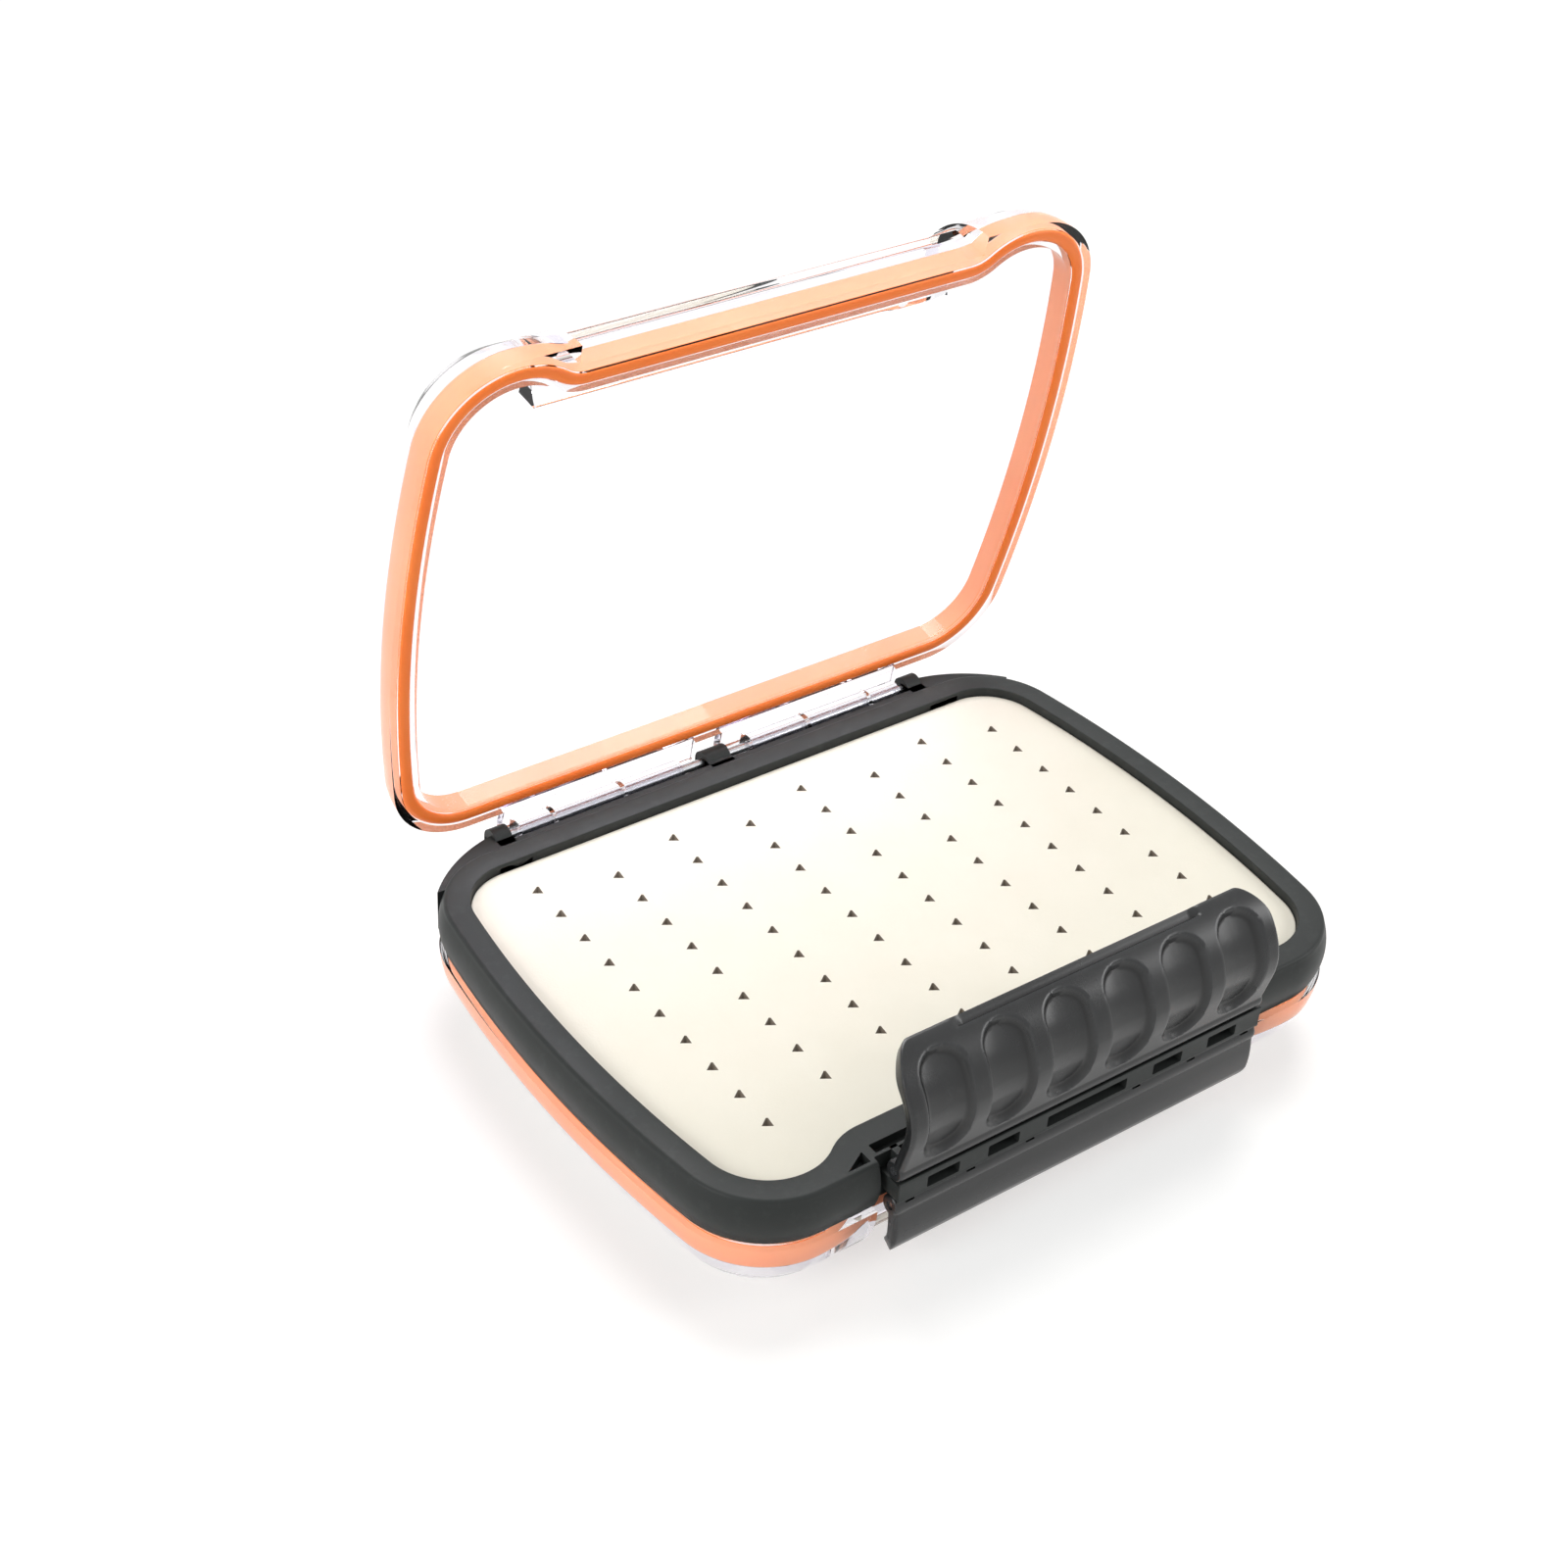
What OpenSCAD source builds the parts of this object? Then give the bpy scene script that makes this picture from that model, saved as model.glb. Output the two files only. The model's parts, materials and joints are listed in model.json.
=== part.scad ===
// Double-sided fly box: a middle frame with a slit-foam sheet on each side,
// a clear lid with a gasket over each sheet, and a snap latch for each lid.
// The origin is the centre of the face that the box rests on, +Y is the hinge side.
// Every half is drawn above the middle plane of the frame, and the lower one is its mirror.

/* [Case] */
// Height of the closed box over both lids
closed_h = 42; // [38:0.5:50]
// Height of the middle frame from rim to rim
frame_h = 10; // [9:0.2:12]
// Width of the flat rim round the foam
rim_w = 5; // [4.4:0.1:6]
// How far the frame's wall bulges past its rim at half height
wall_bulge = 0.9; // [0.2:0.1:1.5]
// Height of the rounded edge of the rim
rim_round = 0.8; // [0.4:0.1:1.2]
// Thickness of the web between the two foam sheets
web_t = 1.2; // [0.8:0.1:2]

/* [Foam opening] */
// Widest size of the foam opening along X
open_w = 136; // [126:1:150]
// Size of the foam opening along Y
open_d = 94; // [88:1:104]
// Radius that the short sides bow out to
side_bow_r = 260; // [200:10:400]
// Corner radius at the hinge side
back_corner_r = 11; // [10.5:0.5:14]
// Corner radius at the latch side
front_corner_r = 12; // [11.5:0.5:14]
// Length along X of each curve of the front step
step_run = 13; // [11:0.2:14]
// Straight length between the front step and the corner beside it
step_shoulder = 0.1; // [0.1:0.1:2]
// How far the front step comes in behind the latch
step_in = 4.2; // [3:0.2:5]

/* [Foam] */
// Distance from the rim down to the foam
foam_drop = 1.8; // [1:0.1:2.4]
// Gap between the foam and the frame
foam_gap = 0.1; // [0.05:0.05:0.3]
// Columns of slits along X
slit_cols = 8; // [4:1:9]
// Distance between columns
slit_col_pitch = 15; // [12:0.5:15]
// Slits in a column
slit_rows = 10; // [6:1:10]
// Distance between the slits of a column
slit_row_pitch = 8; // [6:0.5:8.5]
// Width of the opened mouth of a slit
slit_w = 2.2; // [1:0.1:3]
// Length of the opened mouth of a slit
slit_l = 2; // [1:0.1:3]
// Depth of the opened mouth of a slit
slit_depth = 1.6; // [0.6:0.1:2]
// How far the middle of the slits sits to the right
slit_shift_x = 1.4; // [-2:0.1:2]
// How far the middle of the slits sits to the hinge side
slit_shift_y = 3.2; // [-4:0.1:4]
// Least distance of a slit from the sides and the back of the foam opening
slit_edge = 6; // [5:0.5:10]
// Least distance of a slit from the front of the foam opening
slit_front = 11; // [5:0.5:14]

/* [Lids] */
// How far a lid's edge stands out from the foam opening
lid_reach = 5.8; // [5.4:0.1:6.4]
// How far a lid's dome draws in from its edge to its flat window
dome_in = 15; // [10:0.5:15]
// Thickness of the window and of the dome
lid_wall = 1.8; // [1.4:0.1:2.4]
// Gap between a closed lid and the frame
lid_gap = 0.35; // [0.2:0.05:0.6]
// Thickness of the lip inside the gasket
lip_t = 1.2; // [0.8:0.1:1.6]
// How far the lip stands back from the lid's edge
lip_drop = 0.3; // [0:0.1:0.8]
// Angle from closed at which the upper lid stands
lid_open_angle = 80.2; // [0:0.1:100]

/* [Gaskets] */
// Width of a gasket
gasket_w = 2.6; // [2:0.1:3]
// Height of a gasket
gasket_h = 2.8; // [2:0.1:3.4]
// Gap between a gasket and the frame's rim when closed
gasket_gap = 0.1; // [0.05:0.05:0.3]

/* [Lid hinges] */
// Distance of the hinge axes behind the foam opening
hinge_back = 9.4; // [9:0.1:11]
// Height of a hinge axis from the middle plane
hinge_rise = 2.9; // [2.7:0.1:3.4]
// Radius of a hinge knuckle
knuckle_r = 2.4; // [2:0.1:2.6]
// Radius of a hinge pin
hinge_pin_r = 1; // [0.8:0.1:1.2]
// Radial clearance of a lid on its pin
hinge_clear = 0.06; // [0.03:0.01:0.1]
// Distance from the back corner to the recess that the knuckles turn in
hinge_end = 7.1; // [5:0.1:9]
// Half width of the frame's middle lug
lug_half = 2.7; // [2:0.1:4]
// Thickness of the frame's end lugs
end_lug_t = 3.5; // [2:0.1:5]
// Thickness of the leaf that joins a lid to its knuckles
leaf_t = 2; // [1.2:0.1:3]
// Widths of the knuckles on each side of a lid, from the outer one to the middle
knuckle_widths = [7, 14.7, 13.2];
// Gap between two knuckles of a lid
knuckle_split = 1; // [0.5:0.1:2]
// Distance from the outer knuckle to the end of the recess
knuckle_inset = 2.1; // [0.5:0.1:3]
// Gap between a lid's leaf or knuckles and the frame
knuckle_gap = 0.4; // [0.2:0.05:0.8]
// How far a hinge pin's end lies inside the outer face of its lug
hinge_pin_inset = 0.5; // [0.2:0.1:1]
// Radius of the steps at the ends of the hinge
end_step_r = 30; // [26:1:34]

/* [Latches] */
// Distance from the front corner to the end of a latch
latch_end = 12.5; // [11:0.1:15]
// Gap between a latch's end and the bay that takes it
latch_side_gap = 1.5; // [1:0.1:2]
// How far a latch pin's end lies inside the latch's end
latch_pin_inset = 0.4; // [0.2:0.1:1]
// Distance of the latch axes in front of the foam opening
latch_front = 6.8; // [6.4:0.1:7.4]
// Height of a latch axis from the middle plane
latch_rise = 3.9; // [3.8:0.1:4.4]
// Radius of a latch's barrel
barrel_r = 2; // [1.8:0.1:2.1]
// Radius of a latch pin
latch_pin_r = 0.8; // [0.6:0.1:0.9]
// Radial clearance of a latch on its pin
latch_clear = 0.06; // [0.03:0.01:0.1]
// Thickness of a latch
latch_t = 2.4; // [2:0.1:2.6]
// Depth inside a latch's barrel at which its face starts
root_depth = 0.4; // [0.3:0.05:0.6]
// Gap between the closed upper latch and its lid
latch_gap = 0.5; // [0.3:0.05:0.8]
// Radius of the top corners of a latch
latch_corner_r = 5; // [3:0.5:6]
// Angle from closed at which the upper latch stands
latch_open_angle = 30; // [30:1:32]
// Largest angle from closed to which a latch can swing
latch_swing = 100; // [80:5:110]
// Height of the straight part of the upper latch above its axis
upper_straight = 9; // [8:0.5:10]
// Radius of the upper latch's curved face
upper_curve_r = 14; // [13:0.5:14]
// How far the upper latch's face bows out in front of its axis
upper_bow = 3.9; // [3.6:0.1:4.4]
// Angle through which the upper latch's face curves over the lid
upper_wrap = 64; // [50:1:64]
// Length along X of the thin tab on the upper latch's edge
tab_len = 52.8; // [20:0.2:60]
// Angle by which the tab goes on past the edge
tab_wrap = 9; // [2:1:9]
// Thickness of the tab
tab_t = 1; // [0.6:0.1:1]
// Height of the straight part of the lower latch below its axis
lower_straight = 5.6; // [4:0.1:6]
// Radius of the lower latch's curved face
lower_curve_r = 8; // [7:0.5:9]
// How far the lower latch's face bows out in front of its axis
lower_bow = 2.2; // [2.1:0.05:2.6]
// Angle through which the lower latch's face curves in
lower_wrap = 65; // [40:1:65]

/* [Grips] */
// Finger grips on a latch
grip_count = 6; // [3:1:6]
// Width of a grip
grip_w = 10; // [6:0.1:11]
// Distance from the outer grips to a latch's ends
grip_side = 3.3; // [2:0.1:6]
// Depth of a grip
grip_depth = 1; // [0.5:0.1:1.1]
// Height above the axis at which the upper latch's grips start
upper_grip_start = 1.5; // [1.5:0.1:8]
// Height below the axis at which the lower latch's grips start
lower_grip_start = 7.8; // [7:0.2:9]
// Distance from the grips to a latch's top edge
grip_end = 0.9; // [0.6:0.1:2]

/* [Latch rail] */
// Height of the rail between the two latches
rail_h = 3.4; // [3:0.1:3.6]
// Height of the windows in the rail
window_h = 2.4; // [1.6:0.1:2.6]
// Depth of the windows in the rail
window_depth = 3.5; // [2:0.1:4]
// Lugs that carry a latch pin, on each side of the middle
lug_count = 3; // [2:1:3]
// Distance between those lugs
lug_pitch = 13; // [11:0.1:13.5]
// Distance from the outer lug's middle to the latch's end
lug_inset = 2.9; // [2.6:0.1:4]
// Thickness of a latch lug
latch_lug_t = 1.4; // [1:0.1:3]
// Wall of a latch lug's eye, round its pin
lug_wall = 0.55; // [0.4:0.05:0.6]
// Distance from a lug's middle to the window beside it
window_side = 3.1; // [2:0.1:4]
// Gap between the latch barrels and the frame's wall behind them
bay_gap = 1.5; // [1:0.1:2]
// Distance of a lid's front wall behind the frame's wall in the bay
lid_set_back = 1.3; // [1.2:0.1:1.6]
// Distance from the centre of a closed latch's curve to the rear end of the bay
bay_rear = 4.2; // [4:0.1:5]

/* [Ledge behind the latch] */
// Length of the slot near each end of the ledge
ledge_slot_l = 8.5; // [4:0.5:12]
// Width of the slot
ledge_slot_w = 2.1; // [1:0.1:2.4]
// Wall between the slot and the latch bay
ledge_wall = 0.6; // [0.5:0.1:1]
// Distance from the slot to the end of the latch bay
ledge_slot_end = 1; // [0.5:0.1:3]
// Length of the three-cornered pocket beside the bay
pocket_l = 4.6; // [2:0.1:6]
// Width of the pocket
pocket_w = 2.6; // [1:0.1:3]
// Wall between the pocket and the bay
pocket_wall = 0.9; // [0.6:0.1:2]
// Flat rim between the pocket and the frame's rounded edge
pocket_rim = 0.4; // [0.2:0.1:1]
// Depth of the slots and pockets
ledge_cut = 2; // [0.5:0.1:3]

/* [Hidden] */
$fn = 48;

mid_z = closed_h / 2;
rim_z = frame_h / 2;
back_y = open_d / 2;
front_y = -open_d / 2;
step_y = front_y + step_in;
lid_z = rim_z + lid_gap;
dome_h = mid_z - lid_z;
hinge_y = back_y + hinge_back;
recess_y = hinge_y - knuckle_r - knuckle_gap;
leaf_z = hinge_rise + knuckle_r + 0.1;
latch_y = front_y - latch_front;
rail_y = latch_y - barrel_r;
lug_r = latch_pin_r + lug_wall;
bay_y = latch_y + barrel_r + bay_gap;
lid_front_y = bay_y + lid_set_back;
bore_r = hinge_pin_r + hinge_clear;
side_wall_z = rim_z - rim_round;
groove_in = lip_t + 0.4;
groove_out = groove_in + gasket_w;
gasket_side_gap = 0.05;
gasket_top = lid_z + gasket_h;
// Clear space between a latch and a lug: along the pin, and round the lug's eye and arm
slot_side_gap = 0.25;
slot_gap = 0.15;
// Angle by which a latch's curve runs on past the level at which its edge is cut off
edge_run = 3;
// How far a cut runs on past the face that it starts from
overrun = 1;
eps = 0.01;

// Centre of the upper latch's curve: from its axis as it stands, and from the middle plane when closed
upper_curve = [upper_curve_r - upper_bow, upper_straight];
closed_curve = [
    latch_y + upper_curve.x * cos(latch_open_angle) + upper_curve.y * sin(latch_open_angle),
    latch_rise + upper_curve.y * cos(latch_open_angle) - upper_curve.x * sin(latch_open_angle)];
bay_r = upper_curve_r - latch_t - latch_gap;

// Slopes where the bowed side meets the corners
front_bow_a = asin((front_y + front_corner_r) / (side_bow_r - front_corner_r));
back_bow_a = asin((back_y - back_corner_r) / (side_bow_r - back_corner_r));
bow_x = open_w / 2 - side_bow_r;
front_corner_x = bow_x + (side_bow_r - front_corner_r) * cos(front_bow_a);
back_corner_x = bow_x + (side_bow_r - back_corner_r) * cos(back_bow_a);
// The front step is two arcs that turn one way and back
step_turn = 2 * atan(step_in / step_run);
step_r = step_run / 2 / sin(step_turn);
corner_steps = 8;
side_steps = 5;
curve_steps = 4;
dome_steps = 7;
// Angle left between two arcs that run into each other
arc_gap = 1;

// Lengths along X, which all follow from the corners
step_half = front_corner_x - step_shoulder - step_run;
latch_len = 2 * (front_corner_x - latch_end);
bay_half = latch_len / 2 + latch_side_gap;
recess_half = back_corner_x - hinge_end;
hinge_pin_half = recess_half + end_lug_t - hinge_pin_inset;
latch_pin_half = latch_len / 2 - latch_pin_inset;
grip_pitch = (latch_len - 2 * grip_side - grip_w) / (grip_count - 1);
outer_lug = latch_len / 2 - lug_inset;
lug_places = concat(
    [for (i = [0 : lug_count - 1]) i * lug_pitch - outer_lug],
    [for (i = [lug_count - 1 : -1 : 0]) outer_lug - i * lug_pitch]);

function arc(c, r, a0, a1, steps) =
    [for (i = [0 : steps]) c + r * [cos(a0 + (a1 - a0) * i / steps), sin(a0 + (a1 - a0) * i / steps)]];

// Right half of the case's outline, d outside the foam opening, from front to back
function case_half(d) = concat(
    arc([front_corner_x, front_y + front_corner_r], front_corner_r + d, -90, front_bow_a, corner_steps),
    arc([bow_x, 0], side_bow_r + d, front_bow_a + arc_gap, back_bow_a - arc_gap, side_steps),
    arc([back_corner_x, back_y - back_corner_r], back_corner_r + d, back_bow_a, 90, corner_steps));

// The curves of the front step, for the right half of the foam opening
function step_half_curve(d) = concat(
    arc([step_half, step_y - step_r], step_r - d, 90, 90 - step_turn, curve_steps),
    arc([step_half + step_run, front_y + step_r], step_r + d, 270 - step_turn, 270 - arc_gap,
        curve_steps));

function mirrored(half) = concat(half, [for (i = [len(half) - 1 : -1 : 0]) [-half[i].x, half[i].y]]);
function case_loop(d) = mirrored(case_half(d));
function foam_loop(d) = mirrored(concat(step_half_curve(d), case_half(d)));

// Solid between loops of one number of points, each at its own height, from the lowest up
module skin(loops, heights) {
    n = len(loops[0]);
    last = len(loops) - 1;
    polyhedron(
        points = [for (k = [0 : last]) for (p = loops[k]) [p.x, p.y, heights[k]]],
        faces = concat(
            [[for (i = [0 : n - 1]) i]],
            [for (k = [0 : last - 1]) for (i = [0 : n - 1])
                [k * n + i, (k + 1) * n + i, (k + 1) * n + (i + 1) % n, k * n + (i + 1) % n]],
            [[for (i = [n - 1 : -1 : 0]) last * n + i]]));
}

// Extrudes a profile drawn in Y and Z along X, centred on X = 0
module along_x(length) {
    rotate([90, 0, 90])
        translate([0, 0, -length / 2])
            linear_extrude(length)
                children();
}

module x_rod(radius, half_length) {
    rotate([0, 90, 0])
        cylinder(r = radius, h = 2 * half_length, center = true);
}

module both_sides_of_x() {
    children();
    mirror([1, 0, 0])
        children();
}

module above_and_below() {
    children();
    mirror([0, 0, 1])
        children();
}

// ---- Frame ----

// Rounded wall from the lower rim to the upper rim
module frame_blank() {
    quarter = frame_h / 4;
    stations = [
        [rim_w - rim_round, -rim_z],
        [rim_w - rim_round * 0.3, -rim_z + rim_round * 0.3],
        [rim_w, -rim_z + rim_round],
        [rim_w + wall_bulge * 0.75, -quarter],
        [rim_w + wall_bulge, 0],
        [rim_w + wall_bulge * 0.75, quarter],
        [rim_w, rim_z - rim_round],
        [rim_w - rim_round * 0.3, rim_z - rim_round * 0.3],
        [rim_w - rim_round, rim_z]];
    skin([for (s = stations) case_loop(s[0])], [for (s = stations) s[1]]);
}

// Cuts away the wall behind the latches
module latch_bay() {
    depth = 10;
    translate([-bay_half, bay_y - depth, -frame_h])
        cube([2 * bay_half, depth, 2 * frame_h]);
}

// Flat wall behind the lids' knuckles
module hinge_wall() {
    inset = 2;
    translate([-recess_half, back_y + inset, -side_wall_z])
        cube([2 * recess_half, recess_y - back_y - inset, 2 * side_wall_z]);
}

// Profile of a lug that holds both hinge pins
module hinge_lug_profile() {
    for (side = [-1, 1])
        translate([hinge_y, side * hinge_rise])
            circle(knuckle_r);
    translate([recess_y - 1, -side_wall_z])
        square([hinge_y - recess_y + 1, 2 * side_wall_z]);
    translate([hinge_y, -hinge_rise])
        square([knuckle_r, 2 * hinge_rise]);
}

// Step at each end of the hinge, rounded into the corner
module end_step() {
    reach = 0.6;
    depth = 10;
    translate([0, 0, -side_wall_z])
        linear_extrude(2 * side_wall_z)
            intersection() {
                translate([recess_half, hinge_y + reach - depth])
                    square([end_step_r, depth]);
                translate([recess_half - 2, hinge_y + reach - end_step_r])
                    circle(end_step_r);
            }
}

module hinge_lugs() {
    along_x(2 * lug_half)
        hinge_lug_profile();
    both_sides_of_x()
        translate([recess_half + end_lug_t / 2, 0, 0])
            along_x(end_lug_t)
                hinge_lug_profile();
}

// Rail between the latches
module latch_rail() {
    translate([-latch_len / 2, rail_y, -rail_h / 2])
        cube([latch_len, bay_y - rail_y + overrun, rail_h]);
}

// Arms from the frame's wall, each with an eye for a latch pin
module latch_lugs() {
    arm_bottom = latch_rise - lug_r;
    above_and_below()
        for (x = lug_places)
            translate([x, 0, 0])
                along_x(latch_lug_t) {
                    translate([latch_y, latch_rise])
                        circle(lug_r);
                    translate([latch_y, arm_bottom])
                        square([bay_y - latch_y + overrun, rim_z - arm_bottom]);
                }
}

// One window between each two neighbouring lugs
module rail_windows() {
    for (i = [1 : len(lug_places) - 1]) {
        left = lug_places[i - 1] + window_side;
        translate([left, rail_y - eps, -window_h / 2])
            cube([lug_places[i] - window_side - left, window_depth + eps, window_h]);
    }
}

// Blind slots and three-cornered pockets in the ledge, by the ends of the latch
module ledge_cuts() {
    above_and_below()
        both_sides_of_x()
            translate([0, 0, rim_z - ledge_cut])
                linear_extrude(ledge_cut + overrun) {
                    translate([bay_half - ledge_slot_end - ledge_slot_l, bay_y + ledge_wall])
                        square([ledge_slot_l, ledge_slot_w]);
                    translate([bay_half + pocket_wall, front_y - rim_w + rim_round + pocket_rim])
                        polygon([[0, 0], [pocket_l, 0], [0, pocket_w]]);
                }
}

module pin_bores() {
    above_and_below() {
        translate([0, hinge_y, hinge_rise])
            x_rod(hinge_pin_r, hinge_pin_half);
        translate([0, latch_y, latch_rise])
            x_rod(latch_pin_r, latch_pin_half);
    }
}

module foam_wells() {
    above_and_below()
        translate([0, 0, web_t / 2])
            linear_extrude(frame_h)
                polygon(foam_loop(0));
}

module frame() {
    color([0.27, 0.29, 0.3])
        translate([0, 0, mid_z])
            difference() {
                union() {
                    difference() {
                        frame_blank();
                        latch_bay();
                    }
                    hinge_wall();
                    hinge_lugs();
                    both_sides_of_x()
                        end_step();
                    latch_rail();
                    latch_lugs();
                }
                foam_wells();
                rail_windows();
                ledge_cuts();
                pin_bores();
            }
}

// ---- Foam ----

// Mouth of one slit: a small wedge that points to the hinge side
module slit_mouth() {
    linear_extrude(slit_depth + eps)
        polygon([[-slit_w / 2, -slit_l / 2], [slit_w / 2, -slit_l / 2], [0, slit_l / 2]]);
}

// Whether a slit at x, y keeps its distance from every side of the foam opening
function slit_fits(x, y) =
    let (front = abs(x) < step_half + step_run / 2 ? step_y : front_y)
    y > front + slit_front
        && y < back_y - slit_edge
        && norm([abs(x) - bow_x, y]) < side_bow_r - slit_edge;

// Columns of slits, every second one half a pitch further forward
module slits() {
    for (col = [0 : slit_cols - 1]) {
        odd = col % 2;
        x = (col - (slit_cols - 1) / 2) * slit_col_pitch + slit_shift_x;
        for (row = [0 : slit_rows - 1 - odd]) {
            y = ((slit_rows - 1) / 2 - row - odd / 2) * slit_row_pitch + slit_shift_y;
            if (slit_fits(x, y))
                translate([x, y, 0])
                    slit_mouth();
        }
    }
}

module foam_sheet() {
    foam_bottom = web_t / 2;
    foam_top = rim_z - foam_drop;
    difference() {
        translate([0, 0, foam_bottom])
            linear_extrude(foam_top - foam_bottom)
                polygon(foam_loop(-foam_gap));
        translate([0, 0, foam_top - slit_depth])
            slits();
    }
}

module upper_foam() {
    color([0.98, 0.97, 0.91])
        translate([0, 0, mid_z])
            foam_sheet();
}

module lower_foam() {
    color([0.98, 0.97, 0.91])
        translate([0, 0, mid_z])
            mirror([0, 0, 1])
                foam_sheet();
}

// ---- Lids ----

// Dome: a quarter ellipse from the lid's edge to its flat window
module lid_blank() {
    stations = [for (i = [0 : dome_steps])
        let (a = 90 * i / dome_steps)
        [lid_reach - dome_in * (1 - cos(a)), lid_z + dome_h * sin(a)]];
    skin([for (s = stations) case_loop(s[0])], [for (s = stations) s[1]]);
}

// Hollow of the lid: straight inside the gasket's lip, then under the dome
module lid_hollow() {
    lip_in = groove_in - lip_t;
    inner_in = dome_in - lid_wall / 2;
    inner_h = dome_h - lid_wall;
    first = 3;
    stations = concat(
        [[lip_in, lid_z - overrun]],
        [for (i = [first : dome_steps])
            let (a = 90 * i / dome_steps)
            [min(lip_in, lid_reach - lid_wall - inner_in * (1 - cos(a))), lid_z + inner_h * sin(a)]]);
    skin([for (s = stations) foam_loop(s[0])], [for (s = stations) s[1]]);
}

// Bay for the closed latch: all that is in front of the lid's front wall or outside a drum under
// the latch's curve. With grow, it takes in the wall behind it too.
module lid_bay(grow) {
    half = bay_half + grow;
    front = lid_front_y + grow;
    rear = closed_curve.x + bay_rear + grow;
    depth = 12;
    translate([-half, front - depth, 0])
        cube([2 * half, depth, mid_z + overrun]);
    difference() {
        translate([-half, front - eps, closed_curve.y])
            cube([2 * half, rear - front, mid_z + overrun - closed_curve.y]);
        translate([0, closed_curve.x, closed_curve.y])
            x_rod(bay_r - grow, half + overrun);
    }
}

module gasket_ring(inner, outer, height) {
    linear_extrude(height)
        difference() {
            polygon(foam_loop(outer));
            polygon(foam_loop(inner));
        }
}

// Outer end of one of a lid's knuckles, counted from the outer one to the middle
function knuckle_outer(i) =
    i == 0
        ? recess_half - knuckle_inset
        : knuckle_outer(i - 1) - knuckle_widths[i - 1] - knuckle_split;

// Leaf and knuckles that hang the lid on its pin
module lid_knuckles() {
    leaf_in = lug_half + knuckle_gap;
    leaf_out = recess_half - knuckle_gap;
    leaf_y = back_y + groove_out + 0.6;
    arm_half = knuckle_r * 0.6;
    both_sides_of_x() {
        translate([leaf_in, leaf_y, leaf_z])
            cube([leaf_out - leaf_in, hinge_y + arm_half - leaf_y, leaf_t]);
        for (i = [0 : len(knuckle_widths) - 1])
            translate([knuckle_outer(i) - knuckle_widths[i] / 2, 0, 0])
                along_x(knuckle_widths[i]) {
                    translate([hinge_y, hinge_rise])
                        circle(knuckle_r);
                    translate([hinge_y - arm_half, hinge_rise])
                        square([2 * arm_half, knuckle_r + 1]);
                }
    }
}

module lid_shell() {
    difference() {
        union() {
            difference() {
                lid_blank();
                lid_bay(0);
                difference() {
                    lid_hollow();
                    lid_bay(lid_wall);
                }
            }
            lid_knuckles();
        }
        translate([0, 0, lid_z - overrun])
            gasket_ring(groove_in, groove_out, gasket_h + overrun);
        translate([0, 0, lid_z - overrun])
            linear_extrude(overrun + lip_drop)
                polygon(foam_loop(groove_in + eps));
        translate([0, hinge_y, hinge_rise])
            x_rod(bore_r, recess_half);
    }
}

module gasket() {
    gasket_z = rim_z + gasket_gap;
    translate([0, 0, gasket_z])
        gasket_ring(groove_in + gasket_side_gap, groove_out - gasket_side_gap, gasket_top - gasket_z);
}

// Swings what it holds up with the upper lid
module open_upper() {
    translate([0, hinge_y, mid_z + hinge_rise])
        rotate([-lid_open_angle, 0, 0])
            translate([0, -hinge_y, -hinge_rise])
                children();
}

module upper_lid() {
    color([0.9, 0.9, 0.95, 0.4])
        open_upper()
            lid_shell();
}

module lower_lid() {
    color([0.9, 0.9, 0.95, 0.4])
        translate([0, 0, mid_z])
            mirror([0, 0, 1])
                lid_shell();
}

module upper_gasket() {
    color([0.93, 0.43, 0.18])
        open_upper()
            gasket();
}

module lower_gasket() {
    color([0.93, 0.43, 0.18])
        translate([0, 0, mid_z])
            mirror([0, 0, 1])
                gasket();
}

// ---- Latches ----

// Band of a latch's curve, drawn upright in Y and Z with the latch's axis at 0. It runs from the
// angle start to the angle wrap, and lies between two depths under the latch's face.
module curve_band(straight, curve_r, bow, start, wrap, outside, inside) {
    far = 2 * curve_r;
    translate([curve_r - bow, straight])
        intersection() {
            difference() {
                circle(curve_r - outside);
                circle(curve_r - inside);
            }
            polygon([
                [0, 0],
                far * [-cos(start), sin(start)],
                far * [-cos((start + wrap) / 2), sin((start + wrap) / 2)] * 1.4,
                far * [-cos(wrap), sin(wrap)]]);
        }
}

// Section of a latch between two depths under its face: straight from its barrel, then curved
module latch_section(straight, curve_r, bow, wrap, outside, inside) {
    curve_band(straight, curve_r, bow, 0, wrap, outside, inside);
    polygon([
        [-bow + outside, straight],
        [root_depth - barrel_r + outside, 0],
        [root_depth - barrel_r + inside, 0],
        [-bow + inside, straight]]);
}

// Front view of a latch of a given height, round at its top corners
module latch_outline(top) {
    translate([-latch_len / 2, -barrel_r])
        square([latch_len, top - latch_corner_r + barrel_r]);
    translate([-latch_len / 2 + latch_corner_r, 0])
        square([latch_len - 2 * latch_corner_r, top]);
    for (side = [-1, 1])
        translate([side * (latch_len / 2 - latch_corner_r), top - latch_corner_r])
            circle(latch_corner_r);
}

// Rounded oblong of the grips' width, from one height to another
module grip_outline(start, end) {
    corner = 0.48 * min(grip_w, end - start);
    translate([-grip_w / 2 + corner, start])
        square([grip_w - 2 * corner, end - start]);
    translate([-grip_w / 2, start + corner])
        square([grip_w, end - start - 2 * corner]);
    for (x = [-1, 1], z = [start + corner, end - corner])
        translate([x * (grip_w / 2 - corner), z])
            circle(corner);
}

// Turns a front view into a solid that runs right through the latch from front to back
module through_y() {
    rotate([90, 0, 0])
        linear_extrude(4 * upper_curve_r, center = true)
            children();
}

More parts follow.
